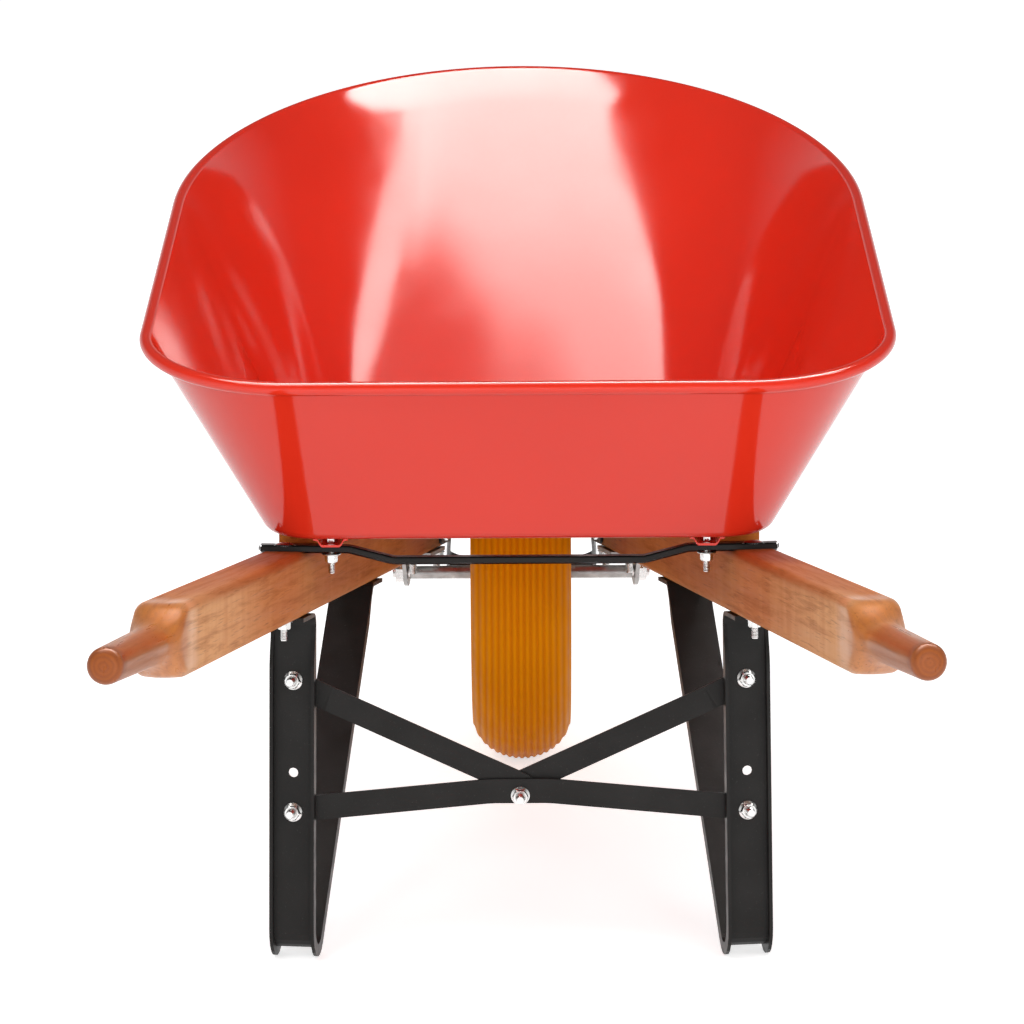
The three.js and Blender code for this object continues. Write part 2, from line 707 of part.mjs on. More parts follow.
function buildRiser({ name, plan }) {
  const wedge = prism([
    [riserRear, handleTop(riserRear) + SEAT],
    [riserFront, handleTop(riserFront) + SEAT],
    [riserFront, trayFloorHeight - SEAT],
    [riserRear, trayFloorHeight - SEAT],
  ], HANDLE_WIDTH);
  const hole = boltHole(new THREE.Vector3(0, frontTabBolt, 0), Z_AXIS, trayFloorHeight * 2);
  addPart(`riser_${name}`, subtract(wedge, [hole]), varnishedWood(), plan);
}

// ---------------------------------------------------------------- tray

const TRAY_STEPS = { rear: 2, corner: 7, side: 4, nose: 14, bend: 3, curl: 9 };

// Half of an outline on plan, from the middle of the rear edge round to the nose.
function halfOutline({ rear, length, halfWidth, taper, corner, noseLength, nosePower }) {
  const noseStart = rear + length - noseLength;
  const steps = (count, pointAt) => Array.from({ length: count }, (_, k) => pointAt(k / count));
  const quarter = (share) => share * Math.PI / 2;
  const noseAt = (share) => new THREE.Vector2(
    (halfWidth - taper) * Math.cos(quarter(share)) ** (2 / nosePower),
    noseStart + noseLength * Math.sin(quarter(share)) ** (2 / nosePower),
  );
  return [
    ...steps(TRAY_STEPS.rear, (share) => new THREE.Vector2((halfWidth - corner) * share, rear)),
    ...steps(TRAY_STEPS.corner, (share) => new THREE.Vector2(
      halfWidth - corner + corner * Math.sin(quarter(share)),
      rear + corner * (1 - Math.cos(quarter(share))),
    )),
    ...steps(TRAY_STEPS.side, (share) => new THREE.Vector2(
      halfWidth - taper * share,
      THREE.MathUtils.lerp(rear + corner, noseStart, share),
    )),
    ...steps(TRAY_STEPS.nose, noseAt),
    new THREE.Vector2(0, rear + length),
  ];
}

const closedOutline = (half) => [
  ...half,
  ...half.slice(1, -1).reverse().map(({ x, y }) => new THREE.Vector2(-x, y)),
];

const floorOutline = closedOutline(halfOutline({
  rear: trayFloorRear,
  length: TRAY_FLOOR_LENGTH,
  halfWidth: TRAY_FLOOR_HALF_WIDTH,
  taper: 0,
  corner: TRAY_FLOOR_CORNER,
  noseLength: TRAY_FLOOR_NOSE_LENGTH,
  nosePower: TRAY_FLOOR_NOSE_POWER,
}));

const rimOutline = closedOutline(halfOutline({
  rear: trayRimRear,
  length: TRAY_RIM_LENGTH,
  halfWidth: TRAY_RIM_HALF_WIDTH,
  taper: TRAY_SIDE_TAPER,
  corner: TRAY_RIM_CORNER,
  noseLength: TRAY_RIM_NOSE_LENGTH,
  nosePower: TRAY_RIM_NOSE_POWER,
}));

const rimHeight = (y) =>
  trayFloorHeight + TRAY_REAR_DEPTH + (y - trayRimRear) * Math.tan(TRAY_RIM_TILT);

// The sheet's section at one place of the outline, as run outward and rise above the
// underside of the floor: floor bend, wall and rolled rim inside, then back outside.
function sheetSection(run, rise) {
  const lean = Math.atan2(rise, run);
  const up = new THREE.Vector2(Math.cos(lean), Math.sin(lean));
  const out = new THREE.Vector2(up.y, -up.x);
  const outerBend = TRAY_FLOOR_BEND_RADIUS + TRAY_SHEET;
  const bendCentre = new THREE.Vector2(-outerBend * Math.tan(lean / 2), outerBend);
  const wallTop = up.clone().multiplyScalar(Math.hypot(run, rise));
  const curlCentre = wallTop.clone().addScaledVector(out, TRAY_CURL_RADIUS - TRAY_SHEET);
  const bend = (radius) => Array.from({ length: TRAY_STEPS.bend + 1 }, (_, k) => {
    const angle = (k / TRAY_STEPS.bend) * lean;
    return new THREE.Vector2(Math.sin(angle), -Math.cos(angle)).multiplyScalar(radius).add(bendCentre);
  });
  const curl = (radius) => Array.from({ length: TRAY_STEPS.curl + 1 }, (_, k) => {
    const angle = (k / TRAY_STEPS.curl) * TRAY_CURL_ANGLE;
    return curlCentre.clone()
      .addScaledVector(out, -radius * Math.cos(angle))
      .addScaledVector(up, radius * Math.sin(angle));
  });
  return [
    ...bend(TRAY_FLOOR_BEND_RADIUS),
    ...curl(TRAY_CURL_RADIUS),
    ...curl(TRAY_CURL_RADIUS - TRAY_SHEET).reverse(),
    ...bend(outerBend).reverse(),
  ];
}

function trayShell() {
  const positions = [];
  for (let i = 0; i < floorOutline.length; i += 1) {
    const base = floorOutline[i];
    const reach = rimOutline[i].clone().sub(base);
    const heading = reach.clone().normalize();
    const section = sheetSection(reach.length(), rimHeight(rimOutline[i].y) - trayFloorHeight);
    for (const { x: run, y: rise } of section) {
      positions.push(base.x + heading.x * run, base.y + heading.y * run, trayFloorHeight + rise);
    }
  }
  const rings = floorOutline.length;
  const count = positions.length / 3 / rings;
  const middle = trayFloorRear + TRAY_FLOOR_LENGTH / 2;
  positions.push(0, middle, trayFloorHeight + TRAY_SHEET, 0, middle, trayFloorHeight);
  const [floorInside, floorOutside] = [rings * count, rings * count + 1];
  const index = [];
  for (let i = 0; i < rings; i += 1) {
    const here = i * count;
    const next = ((i + 1) % rings) * count;
    const mirrored = i >= rings / 2;
    for (let k = 0; k + 1 < count; k += 1) {
      const [a, b, c, d] = [here + k, next + k, next + k + 1, here + k + 1];
      index.push(...(mirrored ? [a, b, d, b, c, d] : [a, b, c, a, c, d]));
    }
    index.push(floorInside, next, here);
    index.push(floorOutside, here + count - 1, next + count - 1);
  }
  return facingOut(positions, index);
}

const blankTray = trayShell();

// Both faces of the tray's sheet met by a line, nearest first, with the outer face's normal.
function trayFaces(origin, heading) {
  const ray = new THREE.Ray(origin, heading);
  const { position } = blankTray.attributes;
  const corner = (i) => new THREE.Vector3().fromBufferAttribute(position, blankTray.index.getX(i));
  const hits = [];
  for (let i = 0; i < blankTray.index.count; i += 3) {
    const triangle = new THREE.Triangle(corner(i), corner(i + 1), corner(i + 2));
    const point = ray.intersectTriangle(triangle.a, triangle.b, triangle.c, false, new THREE.Vector3());
    if (point) hits.push({ point, normal: triangle.getNormal(new THREE.Vector3()) });
  }
  hits.sort((first, second) => first.point.distanceTo(origin) - second.point.distanceTo(origin));
  return hits.slice(0, 2);
}

// The place where a front brace is bolted to the tray's front wall.
function wallSeat(sign) {
  const rise = rimHeight(trayRimRear + TRAY_RIM_LENGTH) - trayFloorHeight;
  const run = trayRimRear + TRAY_RIM_LENGTH - trayFloorRear - TRAY_FLOOR_LENGTH;
  const height = trayFloorHeight + (FRONT_BRACE_REACH * rise) / Math.hypot(rise, run);
  const ahead = new THREE.Vector3(sign * handleCentreX(axlePosition), axlePosition * 2, height);
  const [outer] = trayFaces(ahead, Y_AXIS.clone().negate());
  const up = Z_AXIS.clone().addScaledVector(outer.normal, -outer.normal.z).normalize();
  return { ...outer, up, across: up.clone().cross(outer.normal) };
}

function buildTray() {
  const frontTab = onTab(frontTabBolt);
  const holes = sides.flatMap(({ sign }) => {
    const wall = wallSeat(sign);
    return [
      boltHole(onPlan(sign, 0, frontTab.x, trayFloorHeight), Z_AXIS, TRAY_SHEET * 2),
      boltHole(wall.point, wall.normal, TRAY_SHEET * 4),
    ];
  });
  addPart('tray', subtract(blankTray, holes), redEnamel());
}

// ---------------------------------------------------------------- bracket bar and saddles

const slopeAxis = new THREE.Vector3(0, Math.sin(handleSlope), Math.cos(handleSlope));
const slopeForward = new THREE.Vector3(0, Math.cos(handleSlope), -Math.sin(handleSlope));
const barCentreY = onHandle(1, 0, rearBoltAlong, HANDLE_HEIGHT / 2).y;

// The middle of the bar's thickness where it lies on the right handle's top face.
function barCentreAt(x) {
  const origin = onHandle(1, 0, rearBoltAlong, HANDLE_HEIGHT / 2 + SEAT + BAR_THICKNESS / 2);
  const normal = Z_AXIS.clone().transformDirection(handleMatrix(1));
  const rise = (normal.x * (origin.x - x) + normal.y * (origin.y - barCentreY)) / normal.z;
  return new THREE.Vector3(x, barCentreY, origin.z + rise);
}

const barAcrossHandle = HANDLE_WIDTH / 2 / Math.cos(HANDLE_SPLAY);
const saddleX = handleCentreX(barCentreY) - barAcrossHandle - SADDLE_INBOARD;
const saddleFoot = barCentreAt(saddleX + SADDLE_WIDTH / 2)
  .addScaledVector(slopeForward, -BAR_WIDTH / 2)
  .addScaledVector(slopeAxis, BAR_THICKNESS / 2);
const saddleFloor = saddleFoot.z + SEAT;

function buildBracketBar() {
  const wide = slopeForward;
  const raised = barCentreAt(saddleX - SADDLE_WIDTH / 2 - BAR_JOGGLE_GAP);
  const dropped = new THREE.Vector3(raised.x - BAR_JOGGLE_RUN, raised.y, raised.z - BAR_DROP);
  const blank = strap(withMirror([
    { at: dropped, wide },
    { at: raised, wide },
    { at: barCentreAt(handleCentreX(barCentreY) + barAcrossHandle), wide },
  ]), { width: BAR_WIDTH, thickness: BAR_THICKNESS, roundEnds: false });
  const holes = sides.flatMap(({ sign, name }) => [
    boltHole(
      onHandle(sign, 0, rearBoltAlong, HANDLE_HEIGHT / 2),
      Z_AXIS.clone().transformDirection(handleMatrix(sign)),
      BAR_WIDTH,
    ),
    boltHole(new THREE.Vector3(sign * saddleX, barCentreY, saddleFloor), Z_AXIS, BAR_WIDTH),
  ]);
  addPart('bracket_bar', subtract(blank, holes), blackPaint());
}

// A cup pressed from strip: two short flanges under the tray floor and a rounded trough.
function buildSaddle({ name, sign }) {
  const half = SADDLE_WIDTH / 2;
  const depth = trayFloorHeight - SEAT - saddleFloor;
  const fall = depth - SADDLE_SHEET;
  const slope = (x) => THREE.MathUtils.smootherstep(Math.abs(x), half * SADDLE_TROUGH, half * SADDLE_BROW);
  const xs = Array.from(
    { length: SADDLE_STEPS + 1 },
    (_, k) => THREE.MathUtils.lerp(-half, half, k / SADDLE_STEPS),
  );
  const upper = xs.map((x) => [x, saddleFloor + SADDLE_SHEET + fall * slope(x)]);
  const lower = xs.map((x) => [x, saddleFloor + fall * slope(x)]).reverse();
  const shape = new THREE.Shape([...lower, ...upper].map(([x, z]) => new THREE.Vector2(x, z)));
  const cup = new THREE.ExtrudeGeometry(shape, { depth: SADDLE_LENGTH, bevelEnabled: false });
  cup.rotateX(Math.PI / 2);
  cup.translate(sign * saddleX, barCentreY - SADDLE_BOLT_BACK + SADDLE_LENGTH, 0);
  const bolt = new THREE.Vector3(sign * saddleX, barCentreY, saddleFloor);
  addPart(`saddle_${name}`, subtract(cup, [boltHole(bolt, Z_AXIS, BAR_WIDTH)]), redEnamel());
}

// ---------------------------------------------------------------- leg brace

const strapStep = STRAP_THICKNESS + SEAT;
const padStand = SEAT + STRAP_THICKNESS / 2;
const braceBoltHeight = LEG_LOWER_BOLT_HEIGHT + BRACE_BOLT_RISE;
const padEnd = STRAP_WIDTH / 2 + STRAP_PAD_MARGIN;

const padPoint = (sign, height, outward, rise) =>
  inFrontOfWeb(sign, outward, height + rise, padStand);

const tieBarY = padPoint(1, LEG_LOWER_BOLT_HEIGHT, -LEG_WIDTH / 2, 0).y;
const braceCentre = (layer) => new THREE.Vector3(0, tieBarY + layer * strapStep, braceBoltHeight);

function centreHole() {
  return boltHole(braceCentre(0), Y_AXIS, STRAP_WIDTH);
}

function webHole(sign, height) {
  return boltHole(inFrontOfWeb(sign, 0, height, 0), webAxis(sign), STRAP_WIDTH);
}

function buildTieBar() {
  const pad = (outward) => ({
    at: padPoint(1, LEG_LOWER_BOLT_HEIGHT, outward, TIE_BAR_BOLT_DROP),
    wide: webUp(1),
  });
  const crown = {
    at: braceCentre(0).add(new THREE.Vector3(padEnd * 2, 0, TIE_BAR_BOLT_DROP)),
    wide: Z_AXIS,
    bend: STRAP_WIDTH * 4,
  };
  const blank = strap(
    withMirror([crown, { ...pad(-LEG_WIDTH / 2), bend: STRAP_WIDTH }, pad(padEnd)]),
    { width: STRAP_WIDTH, thickness: STRAP_THICKNESS },
  );
  const holes = [centreHole(), ...sides.map(({ sign }) => webHole(sign, LEG_LOWER_BOLT_HEIGHT))];
  addPart('brace_tie_bar', subtract(blank, holes), blackPaint());
}

function buildDiagonal({ name, sign }, layer) {
  const bolt = padPoint(sign, LEG_UPPER_BOLT_HEIGHT, 0, -DIAGONAL_BOLT_RISE);
  const centre = braceCentre(layer).addScaledVector(Z_AXIS, DIAGONAL_EYE_DROP);
  const fall = Math.atan2(bolt.z - centre.z, Math.abs(bolt.x));
  const pad = (distance) => ({
    at: padPoint(
      sign,
      LEG_UPPER_BOLT_HEIGHT,
      distance * Math.cos(fall),
      distance * Math.sin(fall) - DIAGONAL_BOLT_RISE,
    ),
    wide: webUp(sign),
  });
  const knee = pad(-(LEG_WIDTH + STRAP_WIDTH) / 2 / Math.cos(fall));
  const heading = centre.clone().sub(knee.at).normalize();
  const flat = (distance) => {
    const at = centre.clone().addScaledVector(heading, distance);
    return { at: at.setY(centre.y), wide: Z_AXIS, bend: STRAP_WIDTH };
  };
  const blank = strap(
    [pad(padEnd), { ...knee, bend: STRAP_WIDTH }, flat(-STRAP_WIDTH * 2), flat(padEnd)],
    { width: STRAP_WIDTH, thickness: STRAP_THICKNESS },
  );
  const eyeFace = (side) => braceCentre(layer).addScaledVector(Y_AXIS, (side * STRAP_THICKNESS) / 2);
  const eye = rod(DIAGONAL_EYE_RADIUS, eyeFace(-1), eyeFace(1), DIAGONAL_EYE_FACETS);
  const holes = [centreHole(), webHole(sign, LEG_UPPER_BOLT_HEIGHT)];
  addPart(`brace_diagonal_${name}`, subtract(unite([blank, eye]), holes), blackPaint());
}

// ---------------------------------------------------------------- front braces and guard

const handleAxis = (sign, axis) => axis.clone().transformDirection(handleMatrix(sign));
const guardBolt = (sign, above) => onHandle(sign, -GUARD_BOLT_INSET, guardBoltAlong, above);
const bracePadAbove = HANDLE_HEIGHT / 2 + SEAT + STRAP_THICKNESS / 2;

function buildFrontBrace({ name, sign }) {
  const wall = wallSeat(sign);
  const wallPoint = (up) => wall.point.clone()
    .addScaledVector(wall.normal, FRONT_BRACE_STAND + STRAP_THICKNESS / 2)
    .addScaledVector(wall.up, up);
  const wide = handleAxis(sign, X_AXIS);
  const onPad = (ahead) => onHandle(sign, -GUARD_BOLT_INSET, guardBoltAlong + ahead, bracePadAbove);
  const wallWide = wall.across.dot(wide) < 0 ? wall.across.clone().negate() : wall.across;
  const blank = strap([
    { at: onPad(padEnd), wide },
    { at: onPad(-padEnd), wide },
    { at: wallPoint(padEnd + STRAP_THICKNESS), wide: wallWide },
    { at: wallPoint(-padEnd), wide: wallWide },
  ], { width: STRAP_WIDTH, thickness: STRAP_THICKNESS });
  const holes = [
    boltHole(guardBolt(sign, HANDLE_HEIGHT / 2), handleAxis(sign, Z_AXIS), STRAP_WIDTH / 2),
    boltHole(wall.point, wall.normal, STRAP_WIDTH / 2),
  ];
  addPart(`front_brace_${name}`, subtract(blank, holes), blackPaint());
}

// The guard is one strap on edge: along the handles' inner sides, forward past the tyre
// and across in front of it.
function buildGuard() {
  const wide = handleAxis(1, Z_AXIS);
  const outward = -(HANDLE_WIDTH / 2 + SEAT + STRAP_THICKNESS / 2);
  const onArm = (ahead) => onHandle(1, outward, guardArmAlong + ahead, -GUARD_ARM_DROP);
  const crossing = axlePosition + TYRE_RADIUS + GUARD_FRONT_CLEARANCE;
  const corner = new THREE.Vector3(GUARD_HALF_WIDTH, crossing, GUARD_HEIGHT);
  const blank = strap(withMirror([
    { at: corner, wide: Z_AXIS, bend: GUARD_CORNER_RADIUS },
    { at: onArm(GUARD_ARM_BOLT_FROM_END + STRAP_WIDTH / 4), wide, bend: STRAP_WIDTH },
    { at: onArm(-padEnd), wide },
  ]), { width: STRAP_WIDTH, thickness: STRAP_THICKNESS });
  const holes = sides.map(({ sign }) => boltHole(
    onHandle(sign, outward, guardArmAlong, -GUARD_ARM_DROP),
    handleAxis(sign, X_AXIS),
    STRAP_WIDTH / 2,
  ));
  addPart('wheel_guard', subtract(blank, holes), blackPaint());
}

// ---------------------------------------------------------------- axle set

const padTop = -HANDLE_HEIGHT / 2 - SEAT;
const padBottom = padTop - AXLE_BRACKET_SHEET;
const alongX = (x) => new THREE.Vector3(x, axlePosition, TYRE_RADIUS);
const earHalf = (AXLE_BRACKET_SHEET / 2) / Math.cos(HANDLE_SPLAY);
const faceSwing = (radius) => radius * Math.tan(HANDLE_SPLAY);

function buildAxleBracket({ name, sign, handle }) {
  const length = guardBoltAlong - bracketBoltAlong + 2 * AXLE_BRACKET_MARGIN;
  const pad = new THREE.BoxGeometry(AXLE_BRACKET_WIDTH, length, AXLE_BRACKET_SHEET);
  const outerEdge = AXLE_BRACKET_OFFSET + AXLE_BRACKET_SHEET / 2;
  pad.translate(
    sign * (outerEdge - AXLE_BRACKET_WIDTH / 2),
    earCentre.y,
    (padTop + padBottom) / 2,
  );
  const round = Array.from({ length: AXLE_EAR_STEPS + 1 }, (_, k) => {
    const angle = Math.PI * (1 + k / AXLE_EAR_STEPS);
    return [
      earCentre.y + AXLE_EAR_RADIUS * Math.cos(angle),
      earCentre.z + AXLE_EAR_RADIUS * Math.sin(angle),
    ];
  });
  const ear = prism([
    [earCentre.y - AXLE_EAR_SHOULDER, padTop],
    ...round,
    [earCentre.y + AXLE_EAR_SHOULDER, padTop],
  ], AXLE_BRACKET_SHEET);
  ear.translate(sign * AXLE_BRACKET_OFFSET, 0, 0);
  const axis = X_AXIS.clone().transformDirection(handleMatrix(sign).invert());
  const centre = new THREE.Vector3(sign * AXLE_BRACKET_OFFSET, earCentre.y, earCentre.z);
  const padHole = (outward, along) =>
    boltHole(new THREE.Vector3(sign * outward, along, padTop), Z_AXIS, AXLE_BRACKET_SHEET * 2);
  const holes = [
    boltHole(centre, axis, AXLE_BRACKET_SHEET * 3, AXLE_RADIUS),
    padHole(0, bracketBoltAlong),
    padHole(-GUARD_BOLT_INSET, guardBoltAlong),
  ];
  addPart(`axle_bracket_${name}`, subtract(unite([pad, ear]), holes), zincPlate(), handle);
}

function tube(radius, bore, ends, facets = AXLE_FACETS) {
  const [from, to] = [Math.min(...ends), Math.max(...ends)];
  const outer = rod(radius, alongX(from), alongX(to), facets);
  const inner = rod(bore, alongX(from - radius), alongX(to + radius), AXLE_FACETS);
  return subtract(outer, [inner]);
}

function buildAxle() {
  const earOuter = earX + earHalf + faceSwing(AXLE_NUT_RADIUS) + SEAT;
  const earInner = earX - earHalf - faceSwing(SPACER_RADIUS) - SEAT;
  const nutEnd = earOuter + AXLE_NUT_LENGTH;
  const hubEnd = HUB_LENGTH / 2 + WHEEL_RUNNING_CLEARANCE;
  const end = nutEnd + AXLE_THREAD_SHOWING;
  addPart('axle', rod(AXLE_RADIUS, alongX(-end), alongX(end), AXLE_FACETS), zincPlate());
  for (const { name, sign } of sides) {
    const bore = AXLE_RADIUS + SEAT;
    const nut = tube(AXLE_NUT_RADIUS, bore, [sign * earOuter, sign * nutEnd], 6);
    addPart(`axle_nut_${name}`, nut, zincPlate());
    const spacer = tube(SPACER_RADIUS, bore, [sign * hubEnd, sign * earInner]);
    addPart(`axle_spacer_${name}`, spacer, zincPlate());
  }
}

// ---------------------------------------------------------------- wheel

// A body turned about the axle; the profile holds [distance along the axle, radius].
function turnedAboutAxle(profile, segments = WHEEL_FACETS) {
  const lathe = new THREE.LatheGeometry(profile.map(([x, r]) => new THREE.Vector2(r, x)), segments);
  lathe.rotateZ(-Math.PI / 2);
  return facingOut(
    Array.from(lathe.translate(0, axlePosition, TYRE_RADIUS).attributes.position.array),
    Array.from(lathe.index.array),
  );
}

function crownRadius(x) {
  const share = x / (TYRE_WIDTH / 2);
  return TYRE_RADIUS - TYRE_CROWN_DEPTH * (1 - Math.sqrt(Math.max(0, 1 - share * share)));
}

function tyreProfile() {
  const half = TYRE_WIDTH / 2;
  const seat = RIM_RADIUS + SEAT;
  const beadHalf = RIM_WIDTH / 2 - RIM_SHEET - SEAT;
  const pitch = (TYRE_CROWN_SHARE * TYRE_WIDTH) / TYRE_RIBS;
  const crownEdge = (TYRE_CROWN_SHARE * TYRE_WIDTH) / 2;
  const profile = [[-beadHalf, seat], [-beadHalf, seat + RIM_LIP], [-half, crownRadius(half)]];
  for (let k = 0; k < TYRE_RIBS; k += 1) {
    const start = -crownEdge + k * pitch;
    const ribEnds = [start + pitch * TYRE_GROOVE_SHARE, start + pitch];
    profile.push([start, crownRadius(start) - TYRE_RIB_DEPTH]);
    profile.push(...ribEnds.map((x) => [x, crownRadius(x)]));
  }
  profile.push([half, crownRadius(half)], [beadHalf, seat + RIM_LIP], [beadHalf, seat]);
  profile.push([-beadHalf, seat]);
  return profile;
}

// One pressed rim half: a flat disc, a cone, the bead seat and an upright lip.
function rimProfile() {
  const inner = SEAT / 2;
  const half = RIM_WIDTH / 2;
  const flat = HUB_FLANGE_RADIUS + RIM_SHEET;
  const coneEnd = half - RIM_BEAD_SEAT;
  return [
    [inner, HUB_RADIUS + SEAT],
    [inner, flat],
    [coneEnd, RIM_RADIUS],
    [half - RIM_SHEET, RIM_RADIUS],
    [half - RIM_SHEET, RIM_RADIUS + RIM_LIP],
    [half, RIM_RADIUS + RIM_LIP],
    [half, RIM_RADIUS - RIM_SHEET],
    [coneEnd + RIM_SHEET, RIM_RADIUS - RIM_SHEET],
    [inner + RIM_SHEET, flat - RIM_SHEET],
    [inner + RIM_SHEET, HUB_RADIUS + SEAT],
    [inner, HUB_RADIUS + SEAT],
  ];
}

const rimBoltCentres = Array.from({ length: RIM_BOLTS }, (_, k) => {
  const angle = (k + 0.5) * (2 * Math.PI / RIM_BOLTS);
  return new THREE.Vector3(
    0,
    axlePosition + RIM_BOLT_CIRCLE * Math.cos(angle),
    TYRE_RADIUS + RIM_BOLT_CIRCLE * Math.sin(angle),
  );
});
const rimBoltHoles = () => rimBoltCentres.map((centre) => boltHole(centre, X_AXIS, RIM_WIDTH / 2));
const discOuterFace = SEAT / 2 + RIM_SHEET;
const flangeOuterFace = discOuterFace + SEAT + HUB_FLANGE_SHEET;

function buildRims() {
  for (const { name, sign } of sides) {
    const profile = rimProfile().map(([x, r]) => [sign * x, r]);
    const half = subtract(turnedAboutAxle(profile), rimBoltHoles());
    addPart(`rim_${name}`, half, greyPlate());
  }
}

function buildHub() {
  const half = HUB_LENGTH / 2;
  const bore = AXLE_RADIUS + WHEEL_RUNNING_CLEARANCE * 2;
  const pocket = BEARING_RADIUS + SEAT;
  const pocketEnd = half - BEARING_LENGTH - SEAT;
  const profile = [
    [-half, pocket],
    [-half, HUB_RADIUS],
    [discOuterFace + SEAT, HUB_RADIUS],
    [discOuterFace + SEAT, HUB_FLANGE_RADIUS],
    [flangeOuterFace, HUB_FLANGE_RADIUS],
    [flangeOuterFace, HUB_RADIUS],
    [half, HUB_RADIUS],
    [half, pocket],
    [pocketEnd, pocket],
    [pocketEnd, bore],
    [-pocketEnd, bore],
    [-pocketEnd, pocket],
    [-half, pocket],
  ];
  addPart('hub', subtract(turnedAboutAxle(profile), rimBoltHoles()), greyPlate());
  for (const { name, sign } of sides) {
    const ends = [sign * half, sign * (half - BEARING_LENGTH)];
    const race = tube(BEARING_RADIUS, AXLE_RADIUS + WHEEL_RUNNING_CLEARANCE, ends);
    addPart(`bearing_${name}`, race, zincPlate());
  }
}

// ---------------------------------------------------------------- bolts

function buildHandleBolts({ name, sign }) {
  const up = handleAxis(sign, Z_AXIS);
  addBolt(`rear_bolt_${name}`, {
    seat: onHandle(sign, 0, rearBoltAlong, HANDLE_HEIGHT / 2 + BAR_THICKNESS + 2 * SEAT),
    axis: up,
    grip: HANDLE_HEIGHT + BAR_THICKNESS + LEG_SHEET + 4 * SEAT,
  });
  const tab = onTab(frontTabBolt);
  const tiltGap = NUT_FLANGE_RADIUS * Math.tan(handleSlope) + SEAT;
  const insideFloor = trayFloorHeight + TRAY_SHEET + SEAT;
  addBolt(`tray_bolt_${name}`, {
    seat: onPlan(sign, 0, tab.x, insideFloor),
    axis: Z_AXIS,
    grip: insideFloor - tab.y + tiltGap,
    head: 'dome',
    overhang: BOLT_OVERHANG_SHORT,
  });
  addBolt(`bracket_bolt_${name}`, {
    seat: onHandle(sign, 0, bracketBoltAlong, HANDLE_HEIGHT / 2 + SEAT),
    axis: up,
    grip: HANDLE_HEIGHT + AXLE_BRACKET_SHEET + 3 * SEAT,
  });
  addBolt(`guard_bolt_${name}`, {
    seat: guardBolt(sign, HANDLE_HEIGHT / 2 + STRAP_THICKNESS + 2 * SEAT),
    axis: up,
    grip: HANDLE_HEIGHT + STRAP_THICKNESS + AXLE_BRACKET_SHEET + 4 * SEAT,
  });
  const armFace = HANDLE_WIDTH / 2 + STRAP_THICKNESS + 2 * SEAT;
  addBolt(`guard_arm_bolt_${name}`, {
    seat: onHandle(sign, -armFace, guardArmAlong, -GUARD_ARM_DROP),
    axis: handleAxis(sign, X_AXIS).multiplyScalar(-sign),
    grip: HANDLE_WIDTH + STRAP_THICKNESS + 3 * SEAT,
    overhang: BOLT_OVERHANG_SHORT,
  });
}

function buildWebBolts({ name, sign }) {
  const heights = { upper: LEG_UPPER_BOLT_HEIGHT, lower: LEG_LOWER_BOLT_HEIGHT };
  for (const [place, height] of Object.entries(heights)) {
    addBolt(`leg_bolt_${place}_${name}`, {
      seat: inFrontOfWeb(sign, 0, height, STRAP_THICKNESS + 2 * SEAT),
      axis: webAxis(sign).negate(),
      grip: STRAP_THICKNESS + LEG_SHEET + 3 * SEAT,
    });
  }
}

function buildBraceBolt() {
  const stack = 3 * STRAP_THICKNESS + 2 * SEAT;
  const rearFace = tieBarY - STRAP_THICKNESS / 2;
  addBolt('brace_bolt', {
    seat: braceCentre(0).setY(rearFace + stack + SEAT),
    axis: Y_AXIS,
    grip: stack + 2 * SEAT,
  });
}

function buildSaddleBolt({ name, sign }) {
  const seat = new THREE.Vector3(sign * saddleX, barCentreY, saddleFloor + SADDLE_SHEET + SEAT);
  const barUnder = barCentreAt(saddleX).z - BAR_THICKNESS / 2 / Math.cos(handleSlope);
  const tiltGap = NUT_FLANGE_RADIUS * (Math.tan(handleSlope) + Math.tan(HANDLE_SPLAY) / 4) + SEAT;
  addBolt(`saddle_bolt_${name}`, { seat, axis: Z_AXIS, grip: seat.z - barUnder + tiltGap });
}

function buildWallBolt({ name, sign }) {
  const wall = wallSeat(sign);
  const inward = wall.normal.clone().negate();
  addBolt(`wall_bolt_${name}`, {
    seat: wall.point.clone().addScaledVector(inward, TRAY_SHEET + WALL_BOLT_STAND),
    axis: inward,
    grip: TRAY_SHEET + WALL_BOLT_STAND + FRONT_BRACE_STAND + STRAP_THICKNESS + SEAT,
    head: 'dome',
  });
}

function buildRimBolts() {
  rimBoltCentres.forEach((centre, k) => addBolt(`rim_bolt_${k + 1}`, {
    seat: centre.clone().setX(flangeOuterFace + SEAT),
    axis: X_AXIS,
    grip: flangeOuterFace + discOuterFace + 2 * SEAT,
  }));
}

// ---------------------------------------------------------------- assembly

buildTray();
for (const side of sides) {
  buildHandle(side);
  buildRiser(side);
  addPart(`leg_${side.name}`, subtract(legBlank(), legHoles()), blackPaint(), side.plan);
  buildSaddle(side);
  buildFrontBrace(side);
  buildAxleBracket(side);
  buildHandleBolts(side);
  buildWebBolts(side);
  buildSaddleBolt(side);
  buildWallBolt(side);
}
sides.forEach((side, k) => buildDiagonal(side, k + 1));
buildBracketBar();
buildTieBar();
buildGuard();
buildBraceBolt();
buildAxle();
addPart('tyre', turnedAboutAxle(tyreProfile()), amberRubber());
buildRims();
buildHub();
buildRimBolts();

// The origin is the middle of the footprint, on the ground.
wheelbarrow.updateMatrixWorld(true);
const size = new THREE.Box3().setFromObject(wheelbarrow, true);
wheelbarrow.position.set(-(size.min.x + size.max.x) / 2, -(size.min.y + size.max.y) / 2, -size.min.z);
wheelbarrow.updateMatrixWorld(true);

export default wheelbarrow;
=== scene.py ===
import json
import math

import bpy
from mathutils import Matrix, Vector

